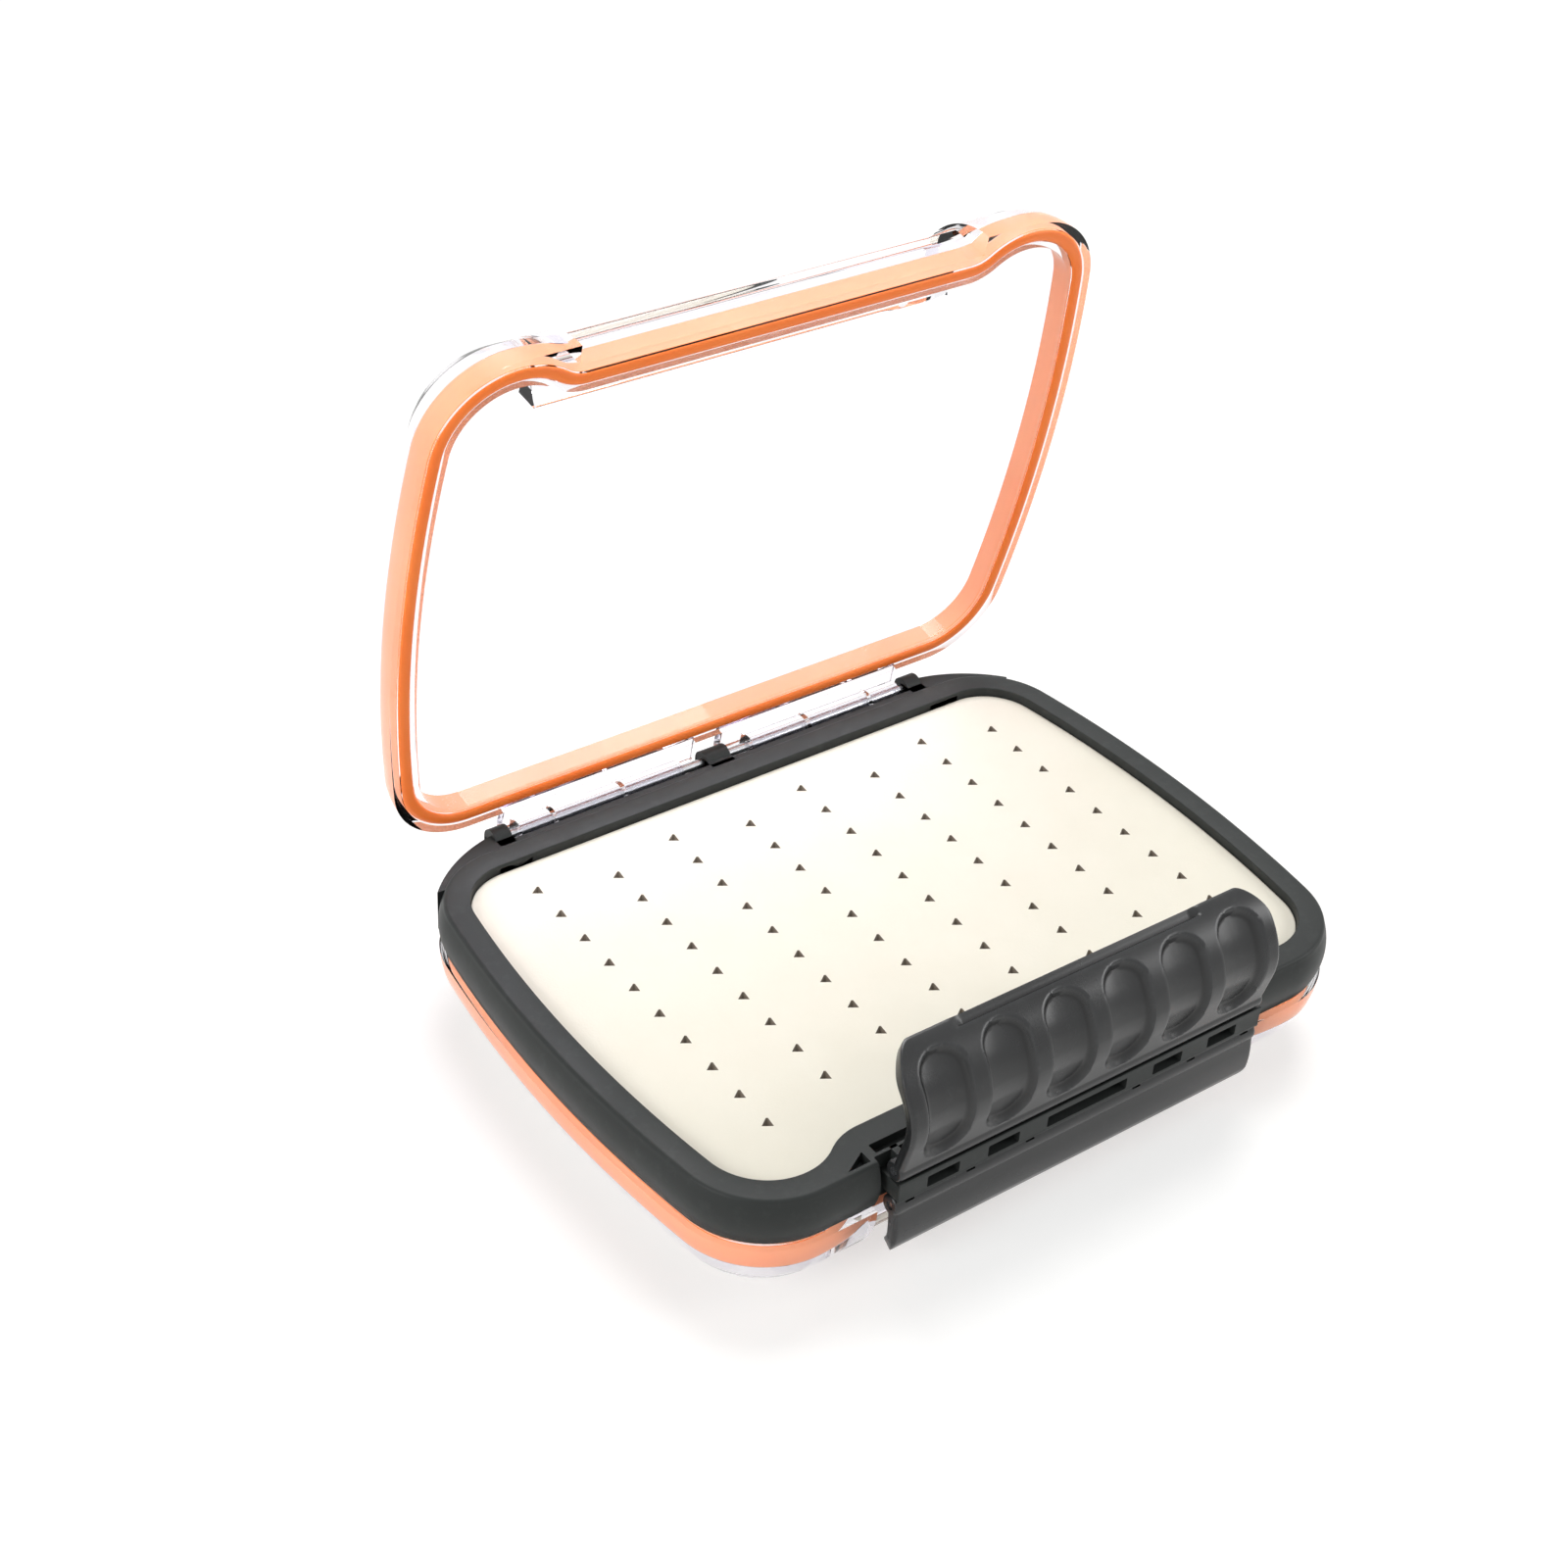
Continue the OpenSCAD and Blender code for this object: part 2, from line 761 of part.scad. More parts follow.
// Room in a latch, drawn at an angle from closed, for a lug's eye and for its arm through the swing
module lug_slot_profile(drawn_at) {
    room = lug_r + slot_gap;
    swing_steps = 4;
    circle(room);
    for (i = [0 : swing_steps])
        rotate(drawn_at - latch_swing * i / swing_steps)
            translate([0, -room])
                square([2 * barrel_r, 2 * room]);
}

// A latch on its axis, drawn at an angle from closed
module latch(drawn_at, straight, curve_r, bow, wrap, grip_start) {
    top = straight + curve_r * sin(wrap);
    difference() {
        union() {
            intersection() {
                along_x(latch_len)
                    latch_section(straight, curve_r, bow, wrap + edge_run, 0, latch_t);
                through_y()
                    latch_outline(top);
            }
            x_rod(barrel_r, latch_len / 2);
            children();
        }
        for (i = [0 : grip_count - 1])
            translate([(i - (grip_count - 1) / 2) * grip_pitch, 0, 0])
                intersection() {
                    through_y()
                        grip_outline(grip_start, top - grip_end);
                    along_x(grip_w + overrun)
                        latch_section(straight, curve_r, bow, wrap, -overrun, grip_depth);
                }
        for (x = lug_places)
            translate([x, 0, 0])
                along_x(latch_lug_t + 2 * slot_side_gap)
                    lug_slot_profile(drawn_at);
        x_rod(latch_pin_r + latch_clear, latch_len / 2 + overrun);
    }
}

module upper_latch() {
    overlap = 12;
    color([0.25, 0.26, 0.27])
        translate([0, latch_y, mid_z + latch_rise])
            latch(latch_open_angle, upper_straight, upper_curve_r, upper_bow, upper_wrap,
                  upper_grip_start)
                along_x(tab_len)
                    curve_band(upper_straight, upper_curve_r, upper_bow,
                               upper_wrap - overlap, upper_wrap + tab_wrap, 0, tab_t);
}

module lower_latch() {
    color([0.25, 0.26, 0.27])
        translate([0, latch_y, mid_z - latch_rise])
            mirror([0, 0, 1])
                latch(0, lower_straight, lower_curve_r, lower_bow, lower_wrap, lower_grip_start);
}

// ---- Pins ----

module pin(radius, half_length, y, z) {
    color([0.75, 0.76, 0.78])
        translate([0, y, mid_z + z])
            x_rod(radius, half_length);
}

module upper_hinge_pin() {
    pin(hinge_pin_r, hinge_pin_half, hinge_y, hinge_rise);
}

module lower_hinge_pin() {
    pin(hinge_pin_r, hinge_pin_half, hinge_y, -hinge_rise);
}

module upper_latch_pin() {
    pin(latch_pin_r, latch_pin_half, latch_y, latch_rise);
}

module lower_latch_pin() {
    pin(latch_pin_r, latch_pin_half, latch_y, -latch_rise);
}

frame();
upper_foam();
lower_foam();
upper_lid();
lower_lid();
upper_gasket();
lower_gasket();
upper_latch();
lower_latch();
upper_hinge_pin();
lower_hinge_pin();
upper_latch_pin();
lower_latch_pin();
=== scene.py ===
"""Looks of a double-sided fly box: dark ABS frame and latches, slit foam, orange gaskets, clear lids.

Every length in a size field is in millimetres. Meshes are built in millimetres round the middle
plane of the frame, with +Y to the hinges, and each finished mesh is then put in place in metres.
"""

import json
import logging
import math
from dataclasses import dataclass, field
from enum import Enum
from typing import Callable, Sequence

import bpy
from mathutils import Matrix, Vector


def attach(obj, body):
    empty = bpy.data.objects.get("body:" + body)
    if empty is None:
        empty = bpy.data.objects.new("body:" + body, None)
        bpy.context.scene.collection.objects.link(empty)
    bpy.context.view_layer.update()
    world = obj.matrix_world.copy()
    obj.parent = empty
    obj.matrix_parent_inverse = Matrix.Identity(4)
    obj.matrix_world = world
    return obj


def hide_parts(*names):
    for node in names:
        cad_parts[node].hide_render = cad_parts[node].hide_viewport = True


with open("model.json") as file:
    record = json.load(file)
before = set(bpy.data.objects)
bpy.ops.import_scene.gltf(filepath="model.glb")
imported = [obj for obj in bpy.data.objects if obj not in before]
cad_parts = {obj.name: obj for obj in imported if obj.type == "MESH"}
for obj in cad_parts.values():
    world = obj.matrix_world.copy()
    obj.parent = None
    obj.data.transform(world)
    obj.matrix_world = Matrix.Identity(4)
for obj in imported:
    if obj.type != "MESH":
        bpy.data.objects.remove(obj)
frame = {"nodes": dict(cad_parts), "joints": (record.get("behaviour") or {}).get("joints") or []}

MM = 0.001
OVERLAP = 1.0  # mm that a cutter or an added solid reaches past the face it meets
HAIR = 0.01  # mm that keeps two faces from lying in one plane
ROUND_SIDES = 160
Point = tuple[float, float, float]
Span = tuple[float, float]
Ring = list[Point]
Line = list[tuple[float, float]]
Piece = bpy.types.Object
Tree = bpy.types.NodeTree
Socket = bpy.types.NodeSocket
log = logging.getLogger("fly_box")


class Half(Enum):
    """Which half of the box a piece belongs to: its names and its sign along Z."""

    UPPER = ("upper", "top", 1.0)
    LOWER = ("lower", "bottom", -1.0)

    @property
    def prefix(self) -> str:
        """Start of the names of this half's nodes."""
        return self.value[0]

    @property
    def body(self) -> str:
        """Start of the names of this half's bodies."""
        return self.value[1]

    @property
    def sign(self) -> float:
        """1 above the middle plane and -1 below it."""
        return self.value[2]


# --- Finishes ---


def linear(hex_colour: str) -> tuple[float, float, float, float]:
    """Turns an sRGB hex colour to linear light.

    Args:
        hex_colour: Six hex digits.

    Returns:
        Red, green, blue and an alpha of 1.
    """
    parts = [int(hex_colour[i : i + 2], 16) / 255 for i in (0, 2, 4)]
    light = [c / 12.92 if c <= 0.04045 else ((c + 0.055) / 1.055) ** 2.4 for c in parts]
    return (light[0], light[1], light[2], 1.0)


def add_node(tree: Tree, kind: str, **settings: object) -> bpy.types.Node:
    """Adds a node, sets its sockets and properties, and links its inputs.

    Args:
        tree: Node tree that the node goes in.
        kind: Type of the node without its "ShaderNode", such as "Bump".
        **settings: An input's name with spaces as underscores, or i0, i1 for an input by its
            number, with a value or an output socket to link. Any other name is a property.

    Returns:
        The new node.
    """
    node = tree.nodes.new("ShaderNode" + kind)
    for name, value in settings.items():
        label = name.replace("_", " ")
        if name[0] == "i" and name[1:].isdigit():
            socket = node.inputs[int(name[1:])]
        elif label in node.inputs:
            socket = node.inputs[label]
        else:
            setattr(node, name, value)
            continue
        if isinstance(value, Socket):
            tree.links.new(value, socket)
        else:
            socket.default_value = value
    return node


@dataclass(frozen=True)
class Finish:
    """A finish of the box. Each kind draws its own surface."""

    name: str

    def surface(self, tree: Tree, place: Socket) -> Socket:
        """Draws the surface: each kind of finish has its own."""
        raise NotImplementedError

    def build(self) -> bpy.types.Material:
        """Makes the node material.

        Returns:
            The material, drawn on Object coordinates.
        """
        material = bpy.data.materials.new(self.name)
        material.use_nodes = True
        tree = material.node_tree
        tree.nodes.clear()
        place = add_node(tree, "TexCoord").outputs["Object"]
        add_node(tree, "OutputMaterial", Surface=self.surface(tree, place))
        return material


@dataclass(frozen=True)
class MouldedPlastic(Finish):
    """Injection-moulded ABS with a fine spark-eroded texture: soft broad highlights, no mirror."""

    colour: str
    colour_worn: str
    roughness: float
    gloss: float  # the spark-eroded grain takes off part of the mirror share
    edge_share: float = 0.0  # painted highlight and painted shade: how far ridges are painted paler and inner corners darker
    grain_mm: float = 0.35  # the real grain is 0.05 mm, too fine to show at this distance
    grain_depth_mm: float = 0.012
    flow_mm: float = 22.0
    scuff_mm: float = 3.0

    def surface(self, tree: Tree, place: Socket) -> Socket:
        """Draws grain, faint flow marks, scuffs, a painted highlight on ridges and painted shade in inner
        corners.

        Args:
            tree: The material's tree.
            place: Object coordinates.

        Returns:
            The surface.
        """
        grain = add_node(tree, "TexNoise", Vector=place, Scale=1 / (self.grain_mm * MM), Detail=3.0)
        flow = add_node(tree, "TexNoise", Vector=place, Scale=1 / (self.flow_mm * MM), Detail=4.0)
        scuffs = add_node(
            tree, "TexNoise", Vector=place, Scale=1 / (self.scuff_mm * MM), Detail=6.0, Roughness=0.7,
        )
        scuffed = add_node(tree, "MapRange", Value=scuffs.outputs["Fac"], From_Min=0.52, From_Max=0.75)
        tint = add_node(
            tree, "Mix", data_type="RGBA", i0=scuffed.outputs["Result"],
            i6=linear(self.colour), i7=linear(self.colour_worn),
        )
        # Painted highlight and shade: the mesh's pointiness pales ridges and darkens inner corners and bowls.
        bend = add_node(tree, "NewGeometry").outputs["Pointiness"]
        shade = add_node(
            tree, "MapRange", Value=bend, From_Min=0.46, From_Max=0.54,
            To_Min=1 - self.edge_share, To_Max=1 + self.edge_share,
        )
        shaded = add_node(
            tree, "Mix", data_type="RGBA", blend_type="MULTIPLY", i0=1.0,
            i6=tint.outputs[2], i7=shade.outputs["Result"],
        )
        rough = add_node(
            tree, "MapRange", Value=flow.outputs["Fac"], From_Min=0.3, From_Max=0.7,
            To_Min=self.roughness - 0.05, To_Max=self.roughness + 0.07,
        )
        bump = add_node(
            tree, "Bump", Height=grain.outputs["Fac"], Strength=0.5, Distance=self.grain_depth_mm * MM,
        )
        return add_node(
            tree, "BsdfPrincipled", Base_Color=shaded.outputs[2], Roughness=rough.outputs["Result"],
            Normal=bump.outputs["Normal"], IOR=1.5, Specular_IOR_Level=self.gloss,
        ).outputs[0]


@dataclass(frozen=True)
class ClosedCellFoam(Finish):
    """Cross-linked EVA foam, split from a block: matt, warm white, with fine cut cells."""

    name: str = "eva foam, warm white"
    colour: str = "F8F4E5"
    colour_shade: str = "F2EDDC"
    cell_mm: float = 0.45  # the real cells are 0.1 mm, too fine to show
    cell_depth_mm: float = 0.03
    mottle_mm: float = 14.0

    def surface(self, tree: Tree, place: Socket) -> Socket:
        """Draws cells, soft mottling and a faint sheen.

        Args:
            tree: The material's tree.
            place: Object coordinates.

        Returns:
            The surface.
        """
        cells = add_node(tree, "TexVoronoi", Vector=place, Scale=1 / (self.cell_mm * MM))
        mottle = add_node(tree, "TexNoise", Vector=place, Scale=1 / (self.mottle_mm * MM), Detail=3.0)
        tint = add_node(
            tree, "Mix", data_type="RGBA", i0=mottle.outputs["Fac"],
            i6=linear(self.colour), i7=linear(self.colour_shade),
        )
        bump = add_node(
            tree, "Bump", Height=cells.outputs["Distance"], Strength=0.6, Distance=self.cell_depth_mm * MM,
        )
        return add_node(
            tree, "BsdfPrincipled", Base_Color=tint.outputs[2], Roughness=0.85,
            Normal=bump.outputs["Normal"], IOR=1.45, Sheen_Weight=0.15,
        ).outputs[0]


@dataclass(frozen=True)
class ClearPolycarbonate(Finish):
    """Clear moulded polycarbonate: polished faces, and a faint violet tint down its long walls."""

    name: str = "clear polycarbonate"
    tint: str = "FCFBFE"
    tint_through: str = "F4F2F8"
    roughness: float = 0.02
    ior: float = 1.3  # below the plastic's own 1.58, so that thick walls stay as pale as the real ones
    most_bounces: float = 6.5  # light caught in a wall for longer comes out pale
    ripple_mm: float = 30.0
    ripple_depth_mm: float = 0.05

    def surface(self, tree: Tree, place: Socket) -> Socket:
        """Draws clear plastic that lets the lamps' light through to what is behind it.

        Args:
            tree: The material's tree.
            place: Object coordinates.

        Returns:
            The surface.
        """
        ripple = add_node(tree, "TexNoise", Vector=place, Scale=1 / (self.ripple_mm * MM), Detail=1.0)
        bump = add_node(
            tree, "Bump", Height=ripple.outputs["Fac"], Strength=0.3, Distance=self.ripple_depth_mm * MM,
        )
        glass = add_node(
            tree, "BsdfPrincipled", Base_Color=linear(self.tint), Roughness=self.roughness,
            Transmission_Weight=1.0, IOR=self.ior, Normal=bump.outputs["Normal"],
        )
        ray = add_node(tree, "LightPath")
        trapped = add_node(
            tree, "Math", operation="GREATER_THAN", i0=ray.outputs["Ray Depth"], i1=self.most_bounces,
        )
        through = add_node(
            tree, "Math", operation="MAXIMUM", i0=ray.outputs["Is Shadow Ray"], i1=trapped.outputs[0],
        )
        clear = add_node(tree, "BsdfTransparent", Color=linear(self.tint_through))
        return add_node(
            tree, "MixShader", Fac=through.outputs[0], i1=glass.outputs[0], i2=clear.outputs[0],
        ).outputs[0]


@dataclass(frozen=True)
class SiliconeRubber(Finish):
    """Extruded silicone cord, orange: smooth, slightly translucent, with a soft highlight."""

    name: str = "silicone rubber, orange"
    colour: str = "FF7420"
    colour_pale: str = "FF8C3C"
    tone_mm: float = 18.0
    skin_mm: float = 0.5
    skin_depth_mm: float = 0.01
    light_reach_mm: Point = (1.2, 0.5, 0.2)  # red light goes furthest into it

    def surface(self, tree: Tree, place: Socket) -> Socket:
        """Draws a faint change of tone along the cord, and its skin.

        Args:
            tree: The material's tree.
            place: Object coordinates.

        Returns:
            The surface.
        """
        tone = add_node(tree, "TexNoise", Vector=place, Scale=1 / (self.tone_mm * MM), Detail=2.0)
        skin = add_node(tree, "TexNoise", Vector=place, Scale=1 / (self.skin_mm * MM), Detail=2.0)
        tint = add_node(
            tree, "Mix", data_type="RGBA", i0=tone.outputs["Fac"],
            i6=linear(self.colour), i7=linear(self.colour_pale),
        )
        bump = add_node(
            tree, "Bump", Height=skin.outputs["Fac"], Strength=0.3, Distance=self.skin_depth_mm * MM,
        )
        return add_node(
            tree, "BsdfPrincipled", Base_Color=tint.outputs[2], Roughness=0.45,
            Normal=bump.outputs["Normal"], IOR=1.41, Subsurface_Weight=0.15,
            Subsurface_Radius=[reach * MM for reach in self.light_reach_mm], Subsurface_Scale=1.0,
        ).outputs[0]


@dataclass(frozen=True)
class DrawnWire(Finish):
    """Drawn stainless steel wire: bright metal with fine lines along it from the die."""

    name: str = "stainless steel wire"
    colour: str = "C6C8CB"
    line_mm: float = 0.15
    stretch: float = 0.02  # a line is fifty times as long as it is wide

    def surface(self, tree: Tree, place: Socket) -> Socket:
        """Draws the metal with its lines.

        Args:
            tree: The material's tree.
            place: Object coordinates.

        Returns:
            The surface.
        """
        along = add_node(tree, "Mapping", Vector=place, Scale=(self.stretch, 1.0, 1.0))
        lines = add_node(
            tree, "TexNoise", Vector=along.outputs[0], Scale=1 / (self.line_mm * MM), Detail=2.0,
        )
        rough = add_node(tree, "MapRange", Value=lines.outputs["Fac"], To_Min=0.18, To_Max=0.34)
        return add_node(
            tree, "BsdfPrincipled", Base_Color=linear(self.colour), Metallic=1.0,
            Roughness=rough.outputs["Result"],
        ).outputs[0]


# --- Modelling helpers ---


def deselect_all() -> None:
    """Leaves object mode with nothing selected."""
    if bpy.context.object and bpy.context.object.mode != "OBJECT":
        bpy.ops.object.mode_set(mode="OBJECT")
    bpy.ops.object.select_all(action="DESELECT")


def make_active(piece: Piece) -> None:
    """Selects one object alone and makes it active.

    Args:
        piece: The object.
    """
    deselect_all()
    piece.select_set(True)
    bpy.context.view_layer.objects.active = piece


def in_edit(piece: Piece, work: Callable[[], object]) -> None:
    """Runs operators on the whole mesh of a piece in edit mode.

    Args:
        piece: The object to edit.
        work: Called with all of the mesh selected.
    """
    make_active(piece)
    bpy.ops.object.mode_set(mode="EDIT")
    bpy.ops.mesh.select_all(action="SELECT")
    work()
    bpy.ops.object.mode_set(mode="OBJECT")


def turns(start: float, end: float, steps: int) -> list[float]:
    """Angles in radians from one angle in degrees to another, with both ends."""
    return [math.radians(start + (end - start) * i / steps) for i in range(steps + 1)]


def lofted(name: str, rings: Sequence[Ring], closed: bool, capped: bool = False) -> Piece:
    """Bends a flat grid through rings of points and welds its seam.

    Args:
        name: Name of the new object.
        rings: Rings with one number of points, in mm.
        closed: Whether the last ring joins the first, as on a hoop.
        capped: Whether the first and last rings are filled with a face.

    Returns:
        The new object, with its faces outwards.
    """
    deselect_all()
    count = len(rings[0])
    rows = len(rings) + (1 if closed else 0)
    bpy.ops.mesh.primitive_grid_add(x_subdivisions=count, y_subdivisions=rows - 1, size=1.0)
    piece = bpy.context.object
    piece.name = name
    points: list[float] = []
    for r in range(rows):
        ring = rings[r % len(rings)]
        for i in range(count + 1):
            points.extend(ring[i % count])
    piece.data.vertices.foreach_set("co", points)

    def weld() -> None:
        """Merges the seam, fills the ends and turns the faces outwards."""
        bpy.ops.mesh.remove_doubles(threshold=1e-4)
        if capped:
            bpy.ops.mesh.select_all(action="DESELECT")
            bpy.ops.mesh.select_non_manifold(extend=False)
            bpy.ops.mesh.edge_face_add()
        bpy.ops.mesh.select_all(action="SELECT")
        bpy.ops.mesh.normals_make_consistent(inside=False)

    in_edit(piece, weld)
    return piece


def boolean(piece: Piece, tool: Piece, operation: str) -> None:
    """Cuts, joins or crosses a piece with a tool, and deletes the tool.

    Args:
        piece: The object that is changed.
        tool: The object it meets.
        operation: DIFFERENCE, UNION or INTERSECT.
    """
    make_active(piece)
    modifier = piece.modifiers.new("Boolean", "BOOLEAN")
    modifier.object, modifier.operation, modifier.solver = tool, operation, "EXACT"
    bpy.ops.object.modifier_apply(modifier=modifier.name)
    bpy.data.objects.remove(tool, do_unlink=True)


def united(parts: Sequence[Piece]) -> Piece:
    """Joins small solids into one, so that a large mesh meets them all at once.

    Args:
        parts: The solids, which may touch.

    Returns:
        The first of them, with the others in it.
    """
    for part in parts[1:]:
        boolean(parts[0], part, "UNION")
    return parts[0]


def moved(piece: Piece, x: float, y: float = 0.0) -> Piece:
    """Moves a mesh, and leaves its object at the origin."""
    piece.data.transform(Matrix.Translation((x, y, 0)))
    return piece


def twin(piece: Piece, name: str) -> Piece:
    """Copies a piece with a mesh of its own.

    Args:
        piece: The piece to copy.
        name: Name of the copy.

    Returns:
        The copy.
    """
    copy = piece.copy()
    copy.data = piece.data.copy()
    copy.name = name
    bpy.context.scene.collection.objects.link(copy)
    return copy


def joined(pieces: Sequence[Piece]) -> Piece:
    """Makes one object of pieces that don't touch.

    Args:
        pieces: The pieces.

    Returns:
        The one object.
    """
    deselect_all()
    for piece in pieces:
        piece.select_set(True)
    bpy.context.view_layer.objects.active = pieces[0]
    bpy.ops.object.join()
    return bpy.context.object


def repeated(first: Piece, places: Sequence[Span]) -> Piece:
    """Makes one object of copies of a small solid, and deletes the first.

    Args:
        first: The solid, at the middle.
        places: X and Y of each copy.

    Returns:
        The one object.
    """
    copies = [moved(twin(first, first.name), x, y) for x, y in places]
    bpy.data.objects.remove(first, do_unlink=True)
    return joined(copies)


def block(name: str, x: Span, y: Span, z: Span, rounding: float = 0.0) -> Piece:
    """Adds a box, with rounded edges if asked.

    Args:
        name: Name of the new object.
        x: Its two ends in mm, in any order.
        y: Its front and back.
        z: Its bottom and top.
        rounding: Radius of its edges.

    Returns:
        The box.
    """
    deselect_all()
    middle = [(a + b) / 2 for a, b in (x, y, z)]
    span = [abs(b - a) for a, b in (x, y, z)]
    bpy.ops.mesh.primitive_cube_add(size=1.0, location=middle, scale=span)
    piece = bpy.context.object
    piece.name = name
    bpy.ops.object.transform_apply(location=True, rotation=True, scale=True)
    if rounding:
        in_edit(piece, lambda: bpy.ops.mesh.bevel(offset=rounding, segments=3, profile=0.5))
    return piece


def rod(name: str, radius: float, half_length: float, y: float, z: float, sides: int = 48) -> Piece:
    """Adds a round bar along X.

    Args:
        name: Name of the new object.
        radius: Radius in mm.
        half_length: Half of its length in mm.
        y: Place of its axis.
        z: Height of its axis.
        sides: Faces round it.

    Returns:
        The bar.
    """
    deselect_all()
    bpy.ops.mesh.primitive_cylinder_add(
        radius=radius, depth=2 * half_length, vertices=sides, location=(0, y, z), rotation=(0, math.pi / 2, 0)
    )
    piece = bpy.context.object
    piece.name = name
    bpy.ops.object.transform_apply(location=True, rotation=True, scale=True)
    return piece


def smooth(piece: Piece, degrees: float = 35.0) -> None:
    """Shades a piece smooth, but keeps edges sharper than an angle."""
    make_active(piece)
    bpy.ops.object.shade_smooth_by_angle(angle=math.radians(degrees))


def hand_over(
    piece: Piece, place: Matrix, material: bpy.types.Material, body: str, slot: str, *nodes: str
) -> None:
    """Puts a finished mesh in place, gives it its finish and fits it to the frame.

    Args:
        piece: The finished object, in mm.
        place: Turns those mm into metres in the frame's own axes.
        material: The piece's finish.
        body: Body that it rides on.
        slot: Material slot of the record; not used.
        *nodes: CAD nodes that it stands for.
    """
    piece.data.transform(place)
    if place.determinant() < 0:
        piece.data.flip_normals()
    piece.data.materials.clear()
    piece.data.materials.append(material)
    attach(piece, body)
    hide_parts(*nodes)
    log.info("%s: %d faces on %s", piece.name, len(piece.data.polygons), body)


def dress_faces(piece: Piece, material: bpy.types.Material, faces: Sequence[int]) -> None:
    """Gives some faces of a piece a second finish.

    Args:
        piece: The piece, which has its first finish.
        material: The second finish.
        faces: Numbers of the faces.
    """
    piece.data.materials.append(material)
    for index in faces:
        piece.data.polygons[index].material_index = 1


# --- Outline of the case ---


@dataclass
class CaseOutline:
    """Outline of the foam opening. Every ring of the box is this line, set out by a distance."""

    width: float = 136.0
    depth: float = 94.0
    side_bow_r: float = 260.0
    back_corner_r: float = 11.0
    front_corner_r: float = 12.0
    step_half: float = 40.4
    step_run: float = 13.0
    step_in: float = 4.2
    corner_steps: int = 24
    side_steps: int = 28
    curve_steps: int = 12
    straight_steps: int = 24

    @property
    def back_y(self) -> float:
        """Hinge side of the foam opening."""
        return self.depth / 2

    @property
    def front_y(self) -> float:
        """Latch side of the foam opening, beside the step."""
        return -self.depth / 2

    @property
    def step_y(self) -> float:
        """Latch side of the foam opening, behind the latch."""
        return self.front_y + self.step_in

    def _arc(self, x: float, y: float, r: float, start: float, end: float, steps: int) -> Line:
        """Points on an arc, angles in degrees, without its last point."""
        return [(x + r * math.cos(a), y + r * math.sin(a)) for a in turns(start, end, steps)[:-1]]

    def _half(self, d: float, stepped: bool) -> Line:
        """Right half of the outline, from the middle of the front to the middle of the back.

        Args:
            d: Distance outside the foam opening.
            stepped: Whether it has the step behind the latch.

        Returns:
            Points from front to back.
        """
        bow_x = self.width / 2 - self.side_bow_r
        front_r, back_r = self.front_corner_r, self.back_corner_r
        front_a = math.degrees(math.asin((self.front_y + front_r) / (self.side_bow_r - front_r)))
        back_a = math.degrees(math.asin((self.back_y - back_r) / (self.side_bow_r - back_r)))
        front_x = bow_x + (self.side_bow_r - front_r) * math.cos(math.radians(front_a))
        back_x = bow_x + (self.side_bow_r - back_r) * math.cos(math.radians(back_a))
        turn = 2 * math.degrees(math.atan(self.step_in / self.step_run))
        step_r = self.step_run / 2 / math.sin(math.radians(turn))
        line, curve = self.straight_steps, self.curve_steps
        points: Line = []
        if stepped:
            points += [(self.step_half * i / line, self.step_y - d) for i in range(line)]
            points += self._arc(self.step_half, self.step_y - step_r, step_r - d, 90, 90 - turn, curve)
            far_x = self.step_half + self.step_run
            points += self._arc(far_x, self.front_y + step_r, step_r + d, 270 - turn, 270, curve)
        else:
            steps = line + 2 * curve
            points += [(front_x * i / steps, self.front_y - d) for i in range(steps)]
        points += self._arc(front_x, self.front_y + front_r, front_r + d, -90, front_a, self.corner_steps)
        points += self._arc(bow_x, 0, self.side_bow_r + d, front_a, back_a, self.side_steps)
        points += self._arc(back_x, self.back_y - back_r, back_r + d, back_a, 90, self.corner_steps)
        points += [(back_x * (1 - i / line), self.back_y + d) for i in range(line + 1)]
        return points

    def ring(self, d: float, z: float, stepped: bool = True) -> Ring:
        """The whole outline as a ring, counterclockwise from above.

        Args:
            d: Distance outside the foam opening.
            z: Height from the middle plane.
            stepped: Whether it has the step behind the latch.

        Returns:
            One ring of points in mm.
        """
        half = self._half(d, stepped)
        return [(x, y, z) for x, y in half] + [(-x, y, z) for x, y in reversed(half[1:-1])]


def rounded_stations(
    low: float, high: float, half_width: float, middle: float, r_low: float, r_high: float, steps: int = 6
) -> Line:
    """Profile of a bar with rounded corners, as distances and heights.

    Args:
        low: Lowest height.
        high: Highest height.
        half_width: Half of its width.
        middle: Distance of its centre line outside the foam opening.
        r_low: Radius of its lower corners.
        r_high: Radius of its upper corners.
        steps: Points in each corner.

    Returns:
        Pairs of distance and height, round the bar.
    """
    stations = []
    for side, top, start in ((1, False, -90), (1, True, 0), (-1, True, 90), (-1, False, 180)):
        r = r_high if top else r_low
        centre_d = middle + side * (half_width - r)
        centre_z = high - r if top else low + r
        stations += [
            (centre_d + r * math.cos(a), centre_z + r * math.sin(a)) for a in turns(start, start + 90, steps)
        ]
    return stations


# --- Case ---


